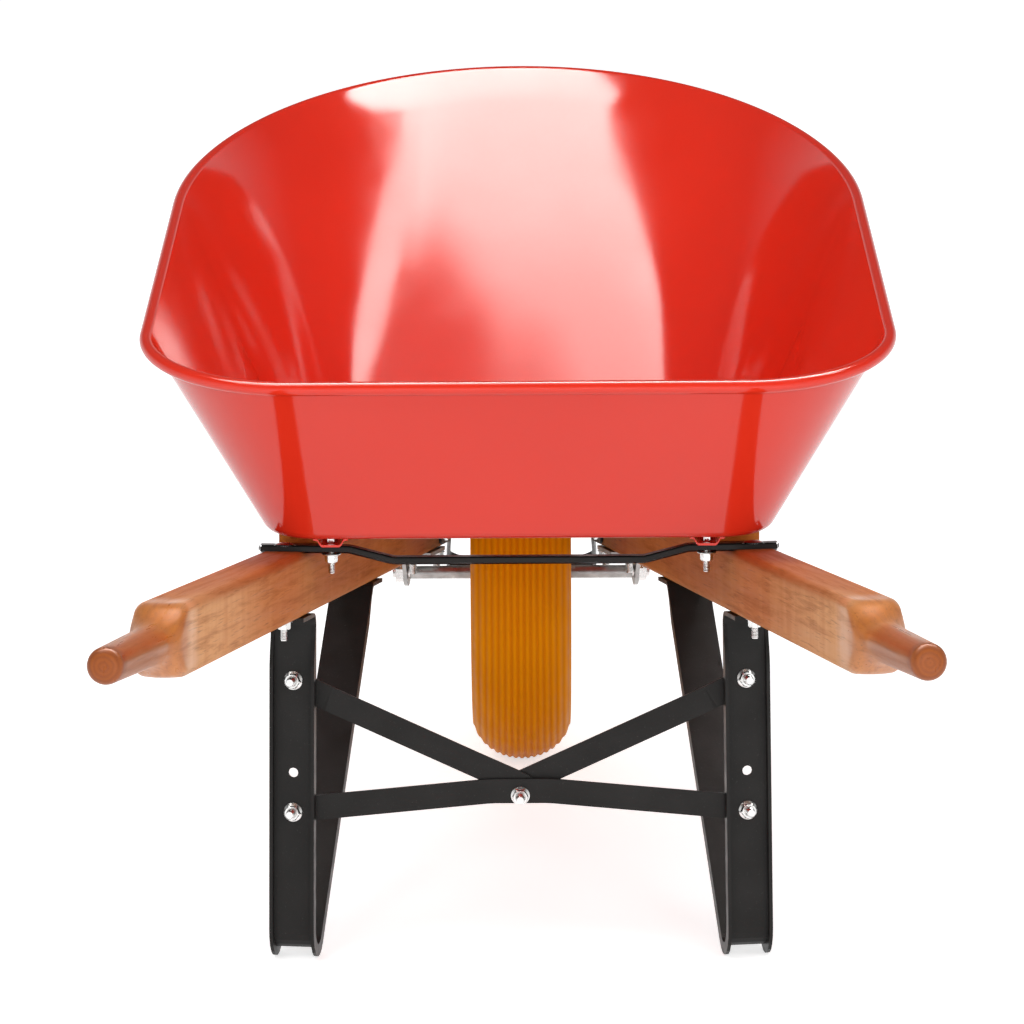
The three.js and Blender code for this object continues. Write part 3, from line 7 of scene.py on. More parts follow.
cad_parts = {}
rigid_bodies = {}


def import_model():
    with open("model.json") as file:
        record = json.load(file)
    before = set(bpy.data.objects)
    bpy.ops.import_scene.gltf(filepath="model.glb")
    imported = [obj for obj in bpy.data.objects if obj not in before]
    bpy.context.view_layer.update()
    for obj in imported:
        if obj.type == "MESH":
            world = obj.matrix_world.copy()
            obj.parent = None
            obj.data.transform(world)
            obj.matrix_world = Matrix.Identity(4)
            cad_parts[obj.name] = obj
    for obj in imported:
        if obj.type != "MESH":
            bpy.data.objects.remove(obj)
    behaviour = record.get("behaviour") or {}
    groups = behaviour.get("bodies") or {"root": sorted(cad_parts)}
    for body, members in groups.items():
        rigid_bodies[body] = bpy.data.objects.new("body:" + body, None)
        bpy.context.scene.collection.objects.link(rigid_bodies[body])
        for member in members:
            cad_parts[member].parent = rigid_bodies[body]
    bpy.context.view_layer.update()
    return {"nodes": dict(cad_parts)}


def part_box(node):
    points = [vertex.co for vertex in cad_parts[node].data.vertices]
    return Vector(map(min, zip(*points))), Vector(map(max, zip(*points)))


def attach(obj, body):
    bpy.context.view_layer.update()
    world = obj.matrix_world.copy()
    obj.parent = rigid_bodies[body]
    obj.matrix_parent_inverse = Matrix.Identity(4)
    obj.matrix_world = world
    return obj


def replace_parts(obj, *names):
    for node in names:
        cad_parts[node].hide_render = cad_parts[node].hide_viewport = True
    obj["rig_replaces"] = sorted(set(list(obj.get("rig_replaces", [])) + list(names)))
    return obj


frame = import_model()
NODES = frame["nodes"]
SIDES = (("left", -1), ("right", 1))

# ---------------------------------------------------------------- the frame
# Lengths are in metres; "along" is the distance forward of the grips' ends.

AXLE_LOW, AXLE_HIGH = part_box("axle")
AXLE = (AXLE_LOW + AXLE_HIGH) / 2
AXLE_ALONG = 1.432


def place(x, along, z):
    return Vector((x, along + AXLE.y - AXLE_ALONG, z))


# ---------------------------------------------------------------- camera

# The camera's place, axes and lens are results of a least-squares solve on the photograph,
# with the pitch held at 11.5 degrees by choice.

CAMERA_FROM_AXLE = Vector((0.011549, -4.715368, 1.022850))
CAMERA_RIGHT = Vector((0.999978, 0.003188, -0.0058209))
CAMERA_UP = Vector((0.005068, 0.1994824, 0.9798883))
CAMERA_LENS = 164.24


def make_camera():
    data = bpy.data.cameras.new("view")
    data.sensor_fit = "HORIZONTAL"
    data.sensor_width = 36
    data.lens = CAMERA_LENS
    data.clip_start, data.clip_end = 0.05, 60
    camera = bpy.data.objects.new("view", data)
    back = CAMERA_RIGHT.cross(CAMERA_UP).normalized()
    up = back.cross(CAMERA_RIGHT).normalized()
    turn = Matrix((CAMERA_RIGHT.normalized(), up, back)).transposed()
    camera.rotation_mode = "QUATERNION"
    camera.rotation_quaternion = turn.to_quaternion()
    camera.location = AXLE + CAMERA_FROM_AXLE
    bpy.context.scene.collection.objects.link(camera)
    bpy.context.scene.camera = camera


# ---------------------------------------------------------------- materials

MIX_INPUTS, MIX_RESULT = (0, 6, 7), 2     # a Mix node's factor and two colours, and its colour


class Nodes:
    """A material's node tree with short helpers."""

    def __init__(self, name):
        self.material = bpy.data.materials.new(name)
        self.material.use_nodes = True
        self.tree = self.material.node_tree
        self.shader = self.tree.nodes["Principled BSDF"]
        self.position = self.node("ShaderNodeTexCoord").outputs["Object"]

    def node(self, kind, **settings):
        made = self.tree.nodes.new(kind)
        for key, value in settings.items():
            setattr(made, key, value)
        return made

    def link(self, source, socket):
        self.tree.links.new(source, socket)

    def attribute(self, name, output="Fac"):
        return self.node("ShaderNodeAttribute", attribute_name=name).outputs[output]

    def split(self, vector):
        made = self.node("ShaderNodeSeparateXYZ")
        self.link(vector, made.inputs[0])
        return made.outputs

    def scaled(self, scale):
        mapping = self.node("ShaderNodeMapping")
        mapping.inputs["Scale"].default_value = scale
        self.link(self.position, mapping.inputs["Vector"])
        return mapping.outputs["Vector"]

    def noise(self, scale, detail=3.0, vector=None, rough=0.5, distortion=0.0):
        made = self.node("ShaderNodeTexNoise")
        made.inputs["Scale"].default_value = scale
        made.inputs["Detail"].default_value = detail
        made.inputs["Roughness"].default_value = rough
        made.inputs["Distortion"].default_value = distortion
        self.link(vector or self.position, made.inputs["Vector"])
        return made.outputs["Fac"]

    def ramp(self, factor, stops):
        made = self.node("ShaderNodeValToRGB")
        elements = made.color_ramp.elements
        while len(elements) < len(stops):
            elements.new(0.5)
        for element, (at, colour) in zip(elements, stops):
            element.position = at
            element.color = (*colour, 1)
        self.link(factor, made.inputs["Fac"])
        return made.outputs["Color"]

    def spread(self, factor, low, high, source=(0.0, 1.0)):
        made = self.node("ShaderNodeMapRange")
        made.inputs["From Min"].default_value = source[0]
        made.inputs["From Max"].default_value = source[1]
        made.inputs["To Min"].default_value = low
        made.inputs["To Max"].default_value = high
        self.link(factor, made.inputs["Value"])
        return made.outputs["Result"]

    def mix(self, factor, first, second):
        made = self.node("ShaderNodeMix", data_type="RGBA")
        for socket, value in zip(MIX_INPUTS, (factor, first, second)):
            if isinstance(value, bpy.types.NodeSocket):
                self.link(value, made.inputs[socket])
            else:
                made.inputs[socket].default_value = (*value, 1) if isinstance(value, tuple) else value
        return made.outputs[MIX_RESULT]

    def maths(self, operation, first, second):
        made = self.node("ShaderNodeMath", operation=operation)
        for socket, value in zip(made.inputs, (first, second)):
            if isinstance(value, bpy.types.NodeSocket):
                self.link(value, socket)
            else:
                socket.default_value = value
        return made.outputs[0]

    def bump(self, height, strength, distance, normal=None):
        made = self.node("ShaderNodeBump")
        made.inputs["Strength"].default_value = strength
        made.inputs["Distance"].default_value = distance
        self.link(height, made.inputs["Height"])
        if normal is not None:
            self.link(normal, made.inputs["Normal"])
        return made.outputs["Normal"]

    def set(self, **values):
        for key, value in values.items():
            socket = self.shader.inputs[key.replace("_", " ")]
            if isinstance(value, bpy.types.NodeSocket):
                self.link(value, socket)
            else:
                socket.default_value = (*value, 1) if isinstance(value, tuple) else value
        return self.material


def tray_enamel():
    """Glossy red enamel, scuffed dull where the floor attribute says so."""
    n = Nodes("tray_enamel")
    cloud = n.noise(5, detail=2)
    colour = n.mix(n.spread(cloud, 0, 1, (0.3, 0.7)), (0.70, 0.026, 0.010), (0.74, 0.030, 0.012))
    speck = n.noise(900, detail=2)
    colour = n.mix(n.spread(speck, 0, 0.5, (0.62, 0.8)), colour, (0.60, 0.024, 0.010))
    peel = n.noise(190, detail=2)
    wave = n.noise(9, detail=1)
    normal = n.bump(peel, 0.03, 0.0006, n.bump(wave, 0.04, 0.004))
    floor = n.attribute("floor")
    rough = n.spread(n.noise(24, detail=4), 0.09, 0.13, (0.3, 0.7))
    return n.set(
        Base_Color=colour,
        Roughness=n.maths("ADD", rough, n.spread(floor, 0, 0.30)),
        Normal=normal,
        Specular_IOR_Level=n.spread(floor, 0.5, 0.07),
    )


def black_paint():
    """Semi-gloss paint with an uneven coat and small pale flecks."""
    n = Nodes("black_paint")
    cloud = n.noise(30, detail=4)
    colour = n.mix(n.spread(cloud, 0, 1, (0.3, 0.7)), (0.0155, 0.0148, 0.0142), (0.022, 0.0212, 0.0205))
    fleck = n.noise(650, detail=2)
    colour = n.mix(n.spread(fleck, 0, 0.6, (0.66, 0.80)), colour, (0.06, 0.058, 0.055))
    peel = n.noise(420, detail=2)
    wave = n.noise(26, detail=2)
    return n.set(
        Base_Color=colour,
        Roughness=n.spread(n.noise(60, detail=4), 0.30, 0.46, (0.3, 0.7)),
        Normal=n.bump(peel, 0.22, 0.0004, n.bump(wave, 0.2, 0.002)),
        Specular_IOR_Level=0.14,
    )


SHOULDER_END = (0.195, 0.225)     # where the polished shoulder runs into the sawn bar


def varnished_wood(name, turned_bar):
    """Wood whose grain runs along Y; a turned bar brings its own grain places, wear and a painted
    highlight.
    """
    n = Nodes(name)
    if turned_bar:
        n.position = n.attribute("grain", "Vector")
    along = n.scaled((1, 0.055, 1))
    warp = n.noise(9, detail=3, vector=along, rough=0.55)
    grain = n.noise(150, detail=6, vector=along, rough=0.65, distortion=0.4)
    pores = n.noise(620, detail=3, vector=n.scaled((1, 0.035, 1)), rough=0.6)
    figure = n.noise(42, detail=2, vector=n.scaled((0.4, 1.0, 0.2)))
    rings = n.node("ShaderNodeTexWave", wave_type="RINGS", rings_direction="Y")
    rings.inputs["Scale"].default_value = 46
    rings.inputs["Distortion"].default_value = 3.0
    rings.inputs["Detail"].default_value = 3
    rings.inputs["Detail Scale"].default_value = 0.9
    n.link(n.scaled((1, 0.05, 1)), rings.inputs["Vector"])
    tone = n.ramp(n.spread(warp, 0, 1, (0.28, 0.72)), [
        (0.0, (0.43, 0.120, 0.016)),
        (0.5, (0.52, 0.165, 0.026)),
        (1.0, (0.61, 0.215, 0.042)),
    ])
    tone = n.mix(n.spread(rings.outputs["Fac"], 0, 0.34), tone, (0.40, 0.110, 0.022))
    tone = n.mix(n.spread(figure, 0, 0.30, (0.45, 0.68)), tone, (0.63, 0.255, 0.070))
    if turned_bar:
        wear_and_sheen = n.split(n.attribute("wear_and_sheen", "Vector"))
        # The pale patch inboard near the grip is a painted highlight: the soft box's reflection laid into
        # the wood's colour.
        sheen_patch = n.maths("MULTIPLY", wear_and_sheen["X"], n.spread(figure, 0.6, 1.0, (0.3, 0.7)))
        tone = n.mix(sheen_patch, tone, (0.76, 0.39, 0.175))
        tone = n.mix(wear_and_sheen["Y"], tone, (0.29, 0.074, 0.016))
        # Darker along the top of the bar, more so towards its front.
        tone = n.mix(wear_and_sheen["Z"], tone, (0.34, 0.080, 0.022))
        lathe = n.node("ShaderNodeTexWave", wave_type="RINGS", rings_direction="Y")
        lathe.inputs["Scale"].default_value = 88
        lathe.inputs["Distortion"].default_value = 2.6
        lathe.inputs["Detail"].default_value = 3
        lathe.inputs["Detail Scale"].default_value = 1.6
        place_on_bar = n.attribute("turned", "Vector")
        n.link(place_on_bar, lathe.inputs["Vector"])
        marks = n.maths("MULTIPLY", wear_and_sheen["Y"], n.spread(lathe.outputs["Fac"], 0.6, 0))
        along_bar = n.split(place_on_bar)["Y"]
        gloss = n.spread(along_bar, 0.30, 0.08, SHOULDER_END)
        matt = n.spread(along_bar, -0.16, 0, SHOULDER_END)
        tone = n.mix(marks, tone, (0.20, 0.050, 0.016))
    else:
        gloss, matt = 0.08, 0.0
    tone = n.mix(n.spread(grain, 0, 0.62, (0.50, 0.74)), tone, (0.27, 0.070, 0.014))
    tone = n.mix(n.spread(pores, 0, 0.55, (0.58, 0.74)), tone, (0.17, 0.042, 0.010))
    return n.set(
        Base_Color=tone,
        Roughness=n.maths("ADD", n.spread(grain, 0.42, 0.58, (0.3, 0.7)), matt),
        Normal=n.bump(pores, 0.16, 0.0004, n.bump(grain, 0.12, 0.0006)),
        Specular_IOR_Level=gloss,
    )


def amber_rubber():
    """Solid rubber with dusty flecks, and painted shade darkening it down in the grooves."""
    n = Nodes("amber_rubber")
    cloud = n.noise(12, detail=4)
    colour = n.mix(n.spread(cloud, 0, 1, (0.3, 0.7)), (0.79, 0.262, 0.0003), (0.87, 0.310, 0.0005))
    dust = n.noise(260, detail=3)
    colour = n.mix(n.spread(dust, 0, 0.25, (0.58, 0.75)), colour, (0.84, 0.32, 0.001))
    # Painted shade: the tread's colour darkens down in the grooves.
    groove_shade = n.maths("MULTIPLY", n.attribute("groove_shade"), 0.42)
    colour = n.mix(groove_shade, colour, (0.50, 0.105, 0.0002))
    return n.set(
        Base_Color=colour,
        Roughness=n.spread(n.noise(80, detail=4), 0.40, 0.58, (0.3, 0.7)),
        Normal=n.bump(n.noise(700, detail=2), 0.15, 0.0003),
        Specular_IOR_Level=0.05,
    )


def zinc_plate():
    """Bright plating of the bolts and nuts."""
    n = Nodes("zinc_plate")
    mottle = n.noise(60, detail=3)
    colour = n.mix(n.spread(mottle, 0, 1, (0.35, 0.7)), (0.74, 0.74, 0.73), (0.88, 0.88, 0.87))
    lines = n.noise(900, detail=2, vector=n.scaled((1, 0.12, 1)))
    return n.set(
        Base_Color=colour,
        Metallic=1.0,
        Roughness=n.spread(n.noise(90, detail=3), 0.20, 0.32, (0.3, 0.7)),
        Normal=n.bump(lines, 0.04, 0.0002),
    )


def plated_steel():
    """Dull plating of the rims, the hub, the axle's tubes and brackets."""
    n = Nodes("plated_steel")
    mottle = n.noise(90, detail=4)
    colour = n.mix(n.spread(mottle, 0, 1, (0.35, 0.7)), (0.36, 0.36, 0.355), (0.52, 0.52, 0.51))
    return n.set(
        Base_Color=colour,
        Metallic=1.0,
        Roughness=n.spread(n.noise(200, detail=3), 0.26, 0.48, (0.3, 0.7)),
        Normal=n.bump(n.noise(600, detail=2), 0.08, 0.0002),
    )


# ---------------------------------------------------------------- mesh helpers

SOFT_EDGE_ANGLE = 35


def new_piece(name, points, faces, material, body="frame", smooth=40):
    """A visible piece that rides on a body; smooth is the angle of its soft edges."""
    mesh = bpy.data.meshes.new(name)
    mesh.from_pydata([tuple(p) for p in points], [], faces)
    mesh.validate()
    mesh.update()
    piece = bpy.data.objects.new(name, mesh)
    bpy.context.scene.collection.objects.link(piece)
    piece.data.materials.append(material)
    shade(piece, smooth)
    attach(piece, body)
    return piece


def paint_all(piece, material):
    piece.data.materials.clear()
    piece.data.materials.append(material)
    for face in piece.data.polygons:
        face.material_index = 0


def shade(piece, angle):
    piece.data.shade_smooth()
    piece.data.set_sharp_from_angle(angle=math.radians(angle))


def soften(piece, width):
    """Rounds the edges of a piece of folded strap or sawn wood."""
    shade(piece, SOFT_EDGE_ANGLE)
    bevel = piece.modifiers.new("edges", "BEVEL")
    bevel.width = width
    bevel.segments = 2
    bevel.limit_method = "ANGLE"
    bevel.angle_limit = math.radians(SOFT_EDGE_ANGLE)
    bevel.harden_normals = True
    bevel.use_clamp_overlap = True


# ---------------------------------------------------------------- tray

SHEET = 0.002
FLOOR = dict(rear=0.660, length=0.540, half=0.218, taper=0.0, corner=0.048, nose=0.150, power=2.6)
RIM = dict(rear=0.563, length=0.896, half=0.3165, taper=0.004, corner=0.128, nose=0.430, power=2.0)
FLOOR_HEIGHT = 0.388
RIM_REAR_HEIGHT = 0.541
RIM_TILT = math.radians(10.6)
FLOOR_BEND = 0.016
CURL_RADIUS = 0.006
CURL_ANGLE = math.radians(285)
REAR_STEPS, CORNER_STEPS, SIDE_STEPS, NOSE_STEPS = 12, 28, 20, 64
BEND_STEPS, WALL_STEPS, CURL_STEPS = 8, 10, 26


def half_outline(rear, length, half, taper, corner, nose, power):
    """From the middle of the rear edge round the right side to the nose's tip."""
    def shares(count):
        return [k / count for k in range(count)]

    start = rear + length - nose
    rows = [((half - corner) * s, rear) for s in shares(REAR_STEPS)]
    for s in shares(CORNER_STEPS):
        turn = s * math.pi / 2
        rows.append((half - corner + corner * math.sin(turn), rear + corner * (1 - math.cos(turn))))
    for s in shares(SIDE_STEPS):
        rows.append((half - taper * s, rear + corner + (start - rear - corner) * s))
    for s in shares(NOSE_STEPS):
        turn = s * math.pi / 2
        rows.append((
            (half - taper) * math.cos(turn) ** (2 / power),
            start + nose * math.sin(turn) ** (2 / power),
        ))
    return rows + [(0.0, rear + length)]


def outline(**sizes):
    half = half_outline(**sizes)
    return half + [(-x, y) for x, y in reversed(half[1:-1])]


def rim_height(along):
    return RIM_REAR_HEIGHT + (along - RIM["rear"]) * math.tan(RIM_TILT)


def sheet_section(run, rise):
    """Floor bend, wall and rolled rim, up the inner face and back down the outer one."""
    lean = math.atan2(rise, run)
    up = Vector((math.cos(lean), math.sin(lean)))
    out = Vector((up.y, -up.x))
    outer = FLOOR_BEND + SHEET
    bend_centre = Vector((-outer * math.tan(lean / 2), outer))
    wall_top = up * math.hypot(run, rise)
    curl_centre = wall_top + out * (CURL_RADIUS - SHEET)

    def bend(radius):
        angles = [lean * k / BEND_STEPS for k in range(BEND_STEPS + 1)]
        return [bend_centre + radius * Vector((math.sin(a), -math.cos(a))) for a in angles]

    def wall(start, end):
        return [start.lerp(end, k / WALL_STEPS) for k in range(1, WALL_STEPS)]

    def curl(radius):
        angles = [CURL_ANGLE * k / CURL_STEPS for k in range(CURL_STEPS + 1)]
        return [curl_centre - out * radius * math.cos(a) + up * radius * math.sin(a) for a in angles]

    inner, rolled = bend(FLOOR_BEND), curl(CURL_RADIUS)
    inside_roll, outer_bend = curl(CURL_RADIUS - SHEET)[::-1], bend(outer)[::-1]
    return (inner + wall(inner[-1], rolled[0]) + rolled + inside_roll
            + wall(inside_roll[-1], outer_bend[0]) + outer_bend)


def make_tray(material):
    floor, rim = outline(**FLOOR), outline(**RIM)
    points, faces = [], []
    for (fx, fy), (rx, ry) in zip(floor, rim):
        reach = Vector((rx - fx, ry - fy))
        heading = reach.normalized()
        for p in sheet_section(reach.length, rim_height(ry) - FLOOR_HEIGHT):
            points.append(place(fx + heading.x * p.x, fy + heading.y * p.x, FLOOR_HEIGHT + p.y))
    rings = len(floor)
    count = len(points) // rings
    for i in range(rings):
        here, after = i * count, (i + 1) % rings * count
        for k in range(count - 1):
            faces.append((here + k, after + k, after + k + 1, here + k + 1))
    faces.append(tuple(i * count for i in range(rings))[::-1])
    faces.append(tuple(i * count + count - 1 for i in range(rings)))
    tray = new_piece("tray_sheet", points, faces, material)
    scuffed = tray.data.attributes.new("floor", "FLOAT", "POINT")
    for i in range(len(points)):
        step = min(i % count, count - 1 - i % count)
        scuffed.data[i].value = max(0.0, 1 - step / BEND_STEPS)
    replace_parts(tray, "tray")


# ---------------------------------------------------------------- handles

SPLAY = math.radians(7.45)
SLOPE = math.radians(7.5397)
HANDLE_WIDTH, HANDLE_HEIGHT, HANDLE_EDGE = 0.041, 0.057, 0.007
HANDLE_REAR, HANDLE_FRONT = -0.025, 1.524
GRIP_HALF_SPREAD, GRIP_HEIGHT = 0.293, 0.437
GRIP_RADIUS, GRIP_TIP_RADIUS = 0.0155, 0.0138
GRIP_LENGTH, FLARE_LENGTH = 0.148, 0.080
SHOULDER_BLEND = 0.0045
SHOULDER_CLEAR = math.hypot(HANDLE_WIDTH, HANDLE_HEIGHT) / 2 + SHOULDER_BLEND
FRONT_CHAMFER = 0.0012
EDGE_STEPS, FACE_STEPS = 8, 9
TIP_STATIONS = (0.0, 0.0003, 0.0008, 0.0016, 0.0028, 0.0044, 0.0069)
GRIP_STEPS, FLARE_STEPS, FLARE_EXTRA, BAR_STEPS = 12, 44, 2, 16


def handle_axes(sign):
    """Unit vectors outward, along (forward) and up of the splayed, sloping handle."""
    outward = Vector((sign * math.cos(SPLAY), math.sin(SPLAY), 0))
    forward = Vector((-sign * math.sin(SPLAY), math.cos(SPLAY), 0))
    along = forward * math.cos(SLOPE) - Vector((0, 0, math.sin(SLOPE)))
    up = forward * math.sin(SLOPE) + Vector((0, 0, math.cos(SLOPE)))
    return outward, along, up


def smooth_least(a, b, blend):
    """The lesser of two lengths, rounded over where they meet."""
    h = max(0.0, min(1.0, 0.5 + 0.5 * (b - a) / blend))
    return b + (a - b) * h - blend * h * (1 - h)


def bar_section():
    """Points round the square bar, dense at its rounded edges."""
    w, h = HANDLE_WIDTH / 2 - HANDLE_EDGE, HANDLE_HEIGHT / 2 - HANDLE_EDGE
    points = []
    for k, (sx, sy) in enumerate(((1, 1), (-1, 1), (-1, -1), (1, -1))):
        for i in range(EDGE_STEPS + 1):
            turn = (k + i / EDGE_STEPS) * math.pi / 2
            points.append((sx * w + HANDLE_EDGE * math.cos(turn), sy * h + HANDLE_EDGE * math.sin(turn)))
        nx, ny = ((-1, 1), (-1, -1), (1, -1), (1, 1))[k]
        start = points[-1]
        turn = (k + 1) * math.pi / 2
        end = (nx * w + HANDLE_EDGE * math.cos(turn), ny * h + HANDLE_EDGE * math.sin(turn))
        for i in range(1, FACE_STEPS):
            points.append(tuple(p + (q - p) * i / FACE_STEPS for p, q in zip(start, end)))
    return points


def turned_radius(distance):
    """The lathe's radius at a distance from the grip's end."""
    tip = GRIP_TIP_RADIUS / 2
    if distance < tip:
        share = math.sqrt(max(0.0, 1 - (1 - distance / tip) ** 2))
        return GRIP_TIP_RADIUS - tip + tip * share
    if distance < GRIP_LENGTH:
        share = (distance - tip) / (GRIP_LENGTH - tip)
        return GRIP_TIP_RADIUS + (GRIP_RADIUS - GRIP_TIP_RADIUS) * share
    share = min(1.0, (distance - GRIP_LENGTH) / FLARE_LENGTH)
    return GRIP_RADIUS + (SHOULDER_CLEAR - GRIP_RADIUS) * (1 - math.cos(share * math.pi)) / 2


def handle_stations():
    """Distances from the grip's end at which the handle's section is drawn."""
    rows = list(TIP_STATIONS)
    start = rows[-1]
    rows += [start + (GRIP_LENGTH - start) * k / GRIP_STEPS for k in range(1, GRIP_STEPS + 1)]
    rows += [GRIP_LENGTH + FLARE_LENGTH * k / FLARE_STEPS for k in range(1, FLARE_STEPS + FLARE_EXTRA + 1)]
    start, end = rows[-1], HANDLE_FRONT - HANDLE_REAR
    rows += [start + (end - FRONT_CHAMFER - start) * k / BAR_STEPS for k in range(1, BAR_STEPS + 1)]
    return rows + [end]


def ease(low, high, value):
    """Zero at low, one at high, smooth between; high may be the lesser."""
    share = max(0.0, min(1.0, (value - low) / (high - low)))
    return share * share * (3 - 2 * share)


def handle_wear_and_sheen(outward, distance, up):
    """How pale the wood is inboard near the grip, a painted highlight; how handled its tip is; how much
    darker its top is.
    """
    inboard = ease(0.004, -0.019, outward)
    # The pale patch is a painted highlight, the soft box's reflection on the inboard face.
    pale = inboard * ease(0.185, 0.215, distance) * ease(0.58, 0.30, distance)
    handled = 0.55 * ease(0.022, 0.004, distance) + 0.4 * ease(0.17, 0.10, distance)
    top = ease(0.017, 0.026, up) * ease(0.20, 0.26, distance)
    return Vector((pale, handled, top * (0.55 + 0.25 * ease(0.25, 0.60, distance))))


def make_handle(name, sign, material):
    outward, along, up = handle_axes(sign)
    origin = place(sign * GRIP_HALF_SPREAD, 0, GRIP_HEIGHT)
    section = bar_section()
    stations = handle_stations()
    points, local = [], []
    for station in stations:
        radius = turned_radius(station)
        shrink = FRONT_CHAMFER if station == stations[-1] else 0.0
        for x, z in section:
            reach = math.hypot(x, z)
            least = smooth_least(reach, radius, SHOULDER_BLEND) if radius < SHOULDER_CLEAR else reach
            scale = (least - shrink) / reach
            here = Vector((sign * x * scale, HANDLE_REAR + station, z * scale))
            local.append(here)
            points.append(origin + outward * (x * scale) + along * here.y + up * here.z)
    count = len(section)
    faces = []
    for i in range(len(stations) - 1):
        for k in range(count):
            after = (k + 1) % count
            quad = (i * count + k, i * count + after, (i + 1) * count + after, (i + 1) * count + k)
            faces.append(quad if sign < 0 else quad[::-1])
    first = tuple(range(count))
    last = tuple(len(points) - count + k for k in range(count))
    faces += [first[::-1], last] if sign < 0 else [first, last[::-1]]
    handle = new_piece(f"handle_wood_{name}", points, faces, material, smooth=50)
    grain = handle.data.attributes.new("grain", "FLOAT_VECTOR", "POINT")
    # Its X holds the painted highlight inboard near the grip; its Y the handled tip; its Z the darker top.
    wear_and_sheen = handle.data.attributes.new("wear_and_sheen", "FLOAT_VECTOR", "POINT")
    turned_place = handle.data.attributes.new("turned", "FLOAT_VECTOR", "POINT")
    for i, here in enumerate(local):
        grain.data[i].vector = here + Vector((0.35 * sign, 0.2 * sign, 0.11))
        wear_and_sheen.data[i].vector = handle_wear_and_sheen(here.x * sign, here.y - HANDLE_REAR, here.z)
        turned_place.data[i].vector = here
    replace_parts(handle, f"handle_{name}")


# ---------------------------------------------------------------- turned pieces

TYRE_RADIUS, TYRE_HALF = 0.1925, 0.0505
TYRE_CROWN_DEPTH = 0.044
TYRE_RIBS, TYRE_RIB_DEPTH, TYRE_CROWN_SHARE = 15, 0.0016, 0.96
RIB_STEPS, RIB_FULLNESS = 10, 1.5
RIM_RADIUS, RIM_HALF, RIM_SHEET, RIM_LIP, BEAD_SEAT = 0.102, 0.036, 0.0025, 0.009, 0.020
HUB_RADIUS, HUB_HALF, FLANGE_RADIUS, FLANGE_SHEET = 0.017, 0.046, 0.056, 0.003
BEARING_BORE, BEARING_RADIUS, SPACER_BORE, SPACER_RADIUS = 0.0056, 0.014, 0.0053, 0.0067
HUB_BORE, HUB_POCKET, HUB_POCKET_DEPTH = 0.0062, 0.0143, 0.0113
GAP = 0.0003


def turned(name, profile, material, node, body="wheel", facets=96, smooth=32):
    """A closed ring turned about the axle from points of (distance along it, radius)."""
    area = sum(p[0] * q[1] - q[0] * p[1] for p, q in zip(profile, profile[1:] + profile[:1]))
    rows = profile if area < 0 else profile[::-1]
    points, faces = [], []
    for k in range(facets):
        turn = 2 * math.pi * k / facets
        for x, r in rows:
            points.append(AXLE + Vector((x, r * math.cos(turn), r * math.sin(turn))))
    count = len(rows)
    for k in range(facets):
        here, after = k * count, (k + 1) % facets * count
        for i in range(count):
            j = (i + 1) % count
            faces.append((here + i, after + i, after + j, here + j))
    piece = new_piece(name, points, faces, material, body=body, smooth=smooth)
    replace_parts(piece, node)
    return piece


def crown_radius(x):
    """The tread's radius over its ribs, at a distance from the wheel's middle."""
    share = min(1.0, abs(x) / TYRE_HALF)
    return TYRE_RADIUS - TYRE_CROWN_DEPTH * (1 - math.sqrt(1 - share * share))


def tyre_profile():
    seat = RIM_RADIUS + GAP
    bead = RIM_HALF - RIM_SHEET - GAP
    edge = TYRE_CROWN_SHARE * TYRE_HALF
    pitch = 2 * edge / TYRE_RIBS
    ribs = []
    for k in range(TYRE_RIBS):
        for step in range(RIB_STEPS):
            share = step / RIB_STEPS
            depth = (0.5 + 0.5 * math.cos(2 * math.pi * share)) ** RIB_FULLNESS
            x = -edge + (k + share) * pitch
            ribs.append((x, crown_radius(x) - depth * TYRE_RIB_DEPTH))
    ribs.append((edge, crown_radius(edge) - TYRE_RIB_DEPTH))

    def side_wall(sign):
        top, low = crown_radius(TYRE_HALF), seat + RIM_LIP
        rows = [(TYRE_HALF - 0.0004, top + 0.008), (TYRE_HALF, top), (TYRE_HALF - 0.0012, top - 0.006),
                (TYRE_HALF - 0.0030, top - 0.0075), (TYRE_HALF - 0.0046, top - 0.012),
                (TYRE_HALF - 0.0075, top - 0.018), (TYRE_HALF - 0.0118, top - 0.0255),
                (TYRE_HALF - 0.0128, top - 0.0275), (bead + 0.0018, low + 0.004), (bead, low), (bead, seat)]
        return [(sign * x, r) for x, r in rows]

    return side_wall(-1)[::-1] + ribs + side_wall(1)


def mark_grooves(tyre):
    """Keeps how deep in the grooves each point of the tread lies, for the painted shade there."""
    groove_shade = tyre.data.attributes.new("groove_shade", "FLOAT", "POINT")
    for vertex, item in zip(tyre.data.vertices, groove_shade.data):
        x = vertex.co.x - AXLE.x
        radius = math.hypot(vertex.co.y - AXLE.y, vertex.co.z - AXLE.z)
        on_tread = abs(x) <= TYRE_CROWN_SHARE * TYRE_HALF and radius > RIM_RADIUS + TYRE_CROWN_DEPTH / 2
        depth = (crown_radius(x) - radius) / TYRE_RIB_DEPTH
        item.value = max(0.0, min(1.0, depth)) if on_tread else 0.0


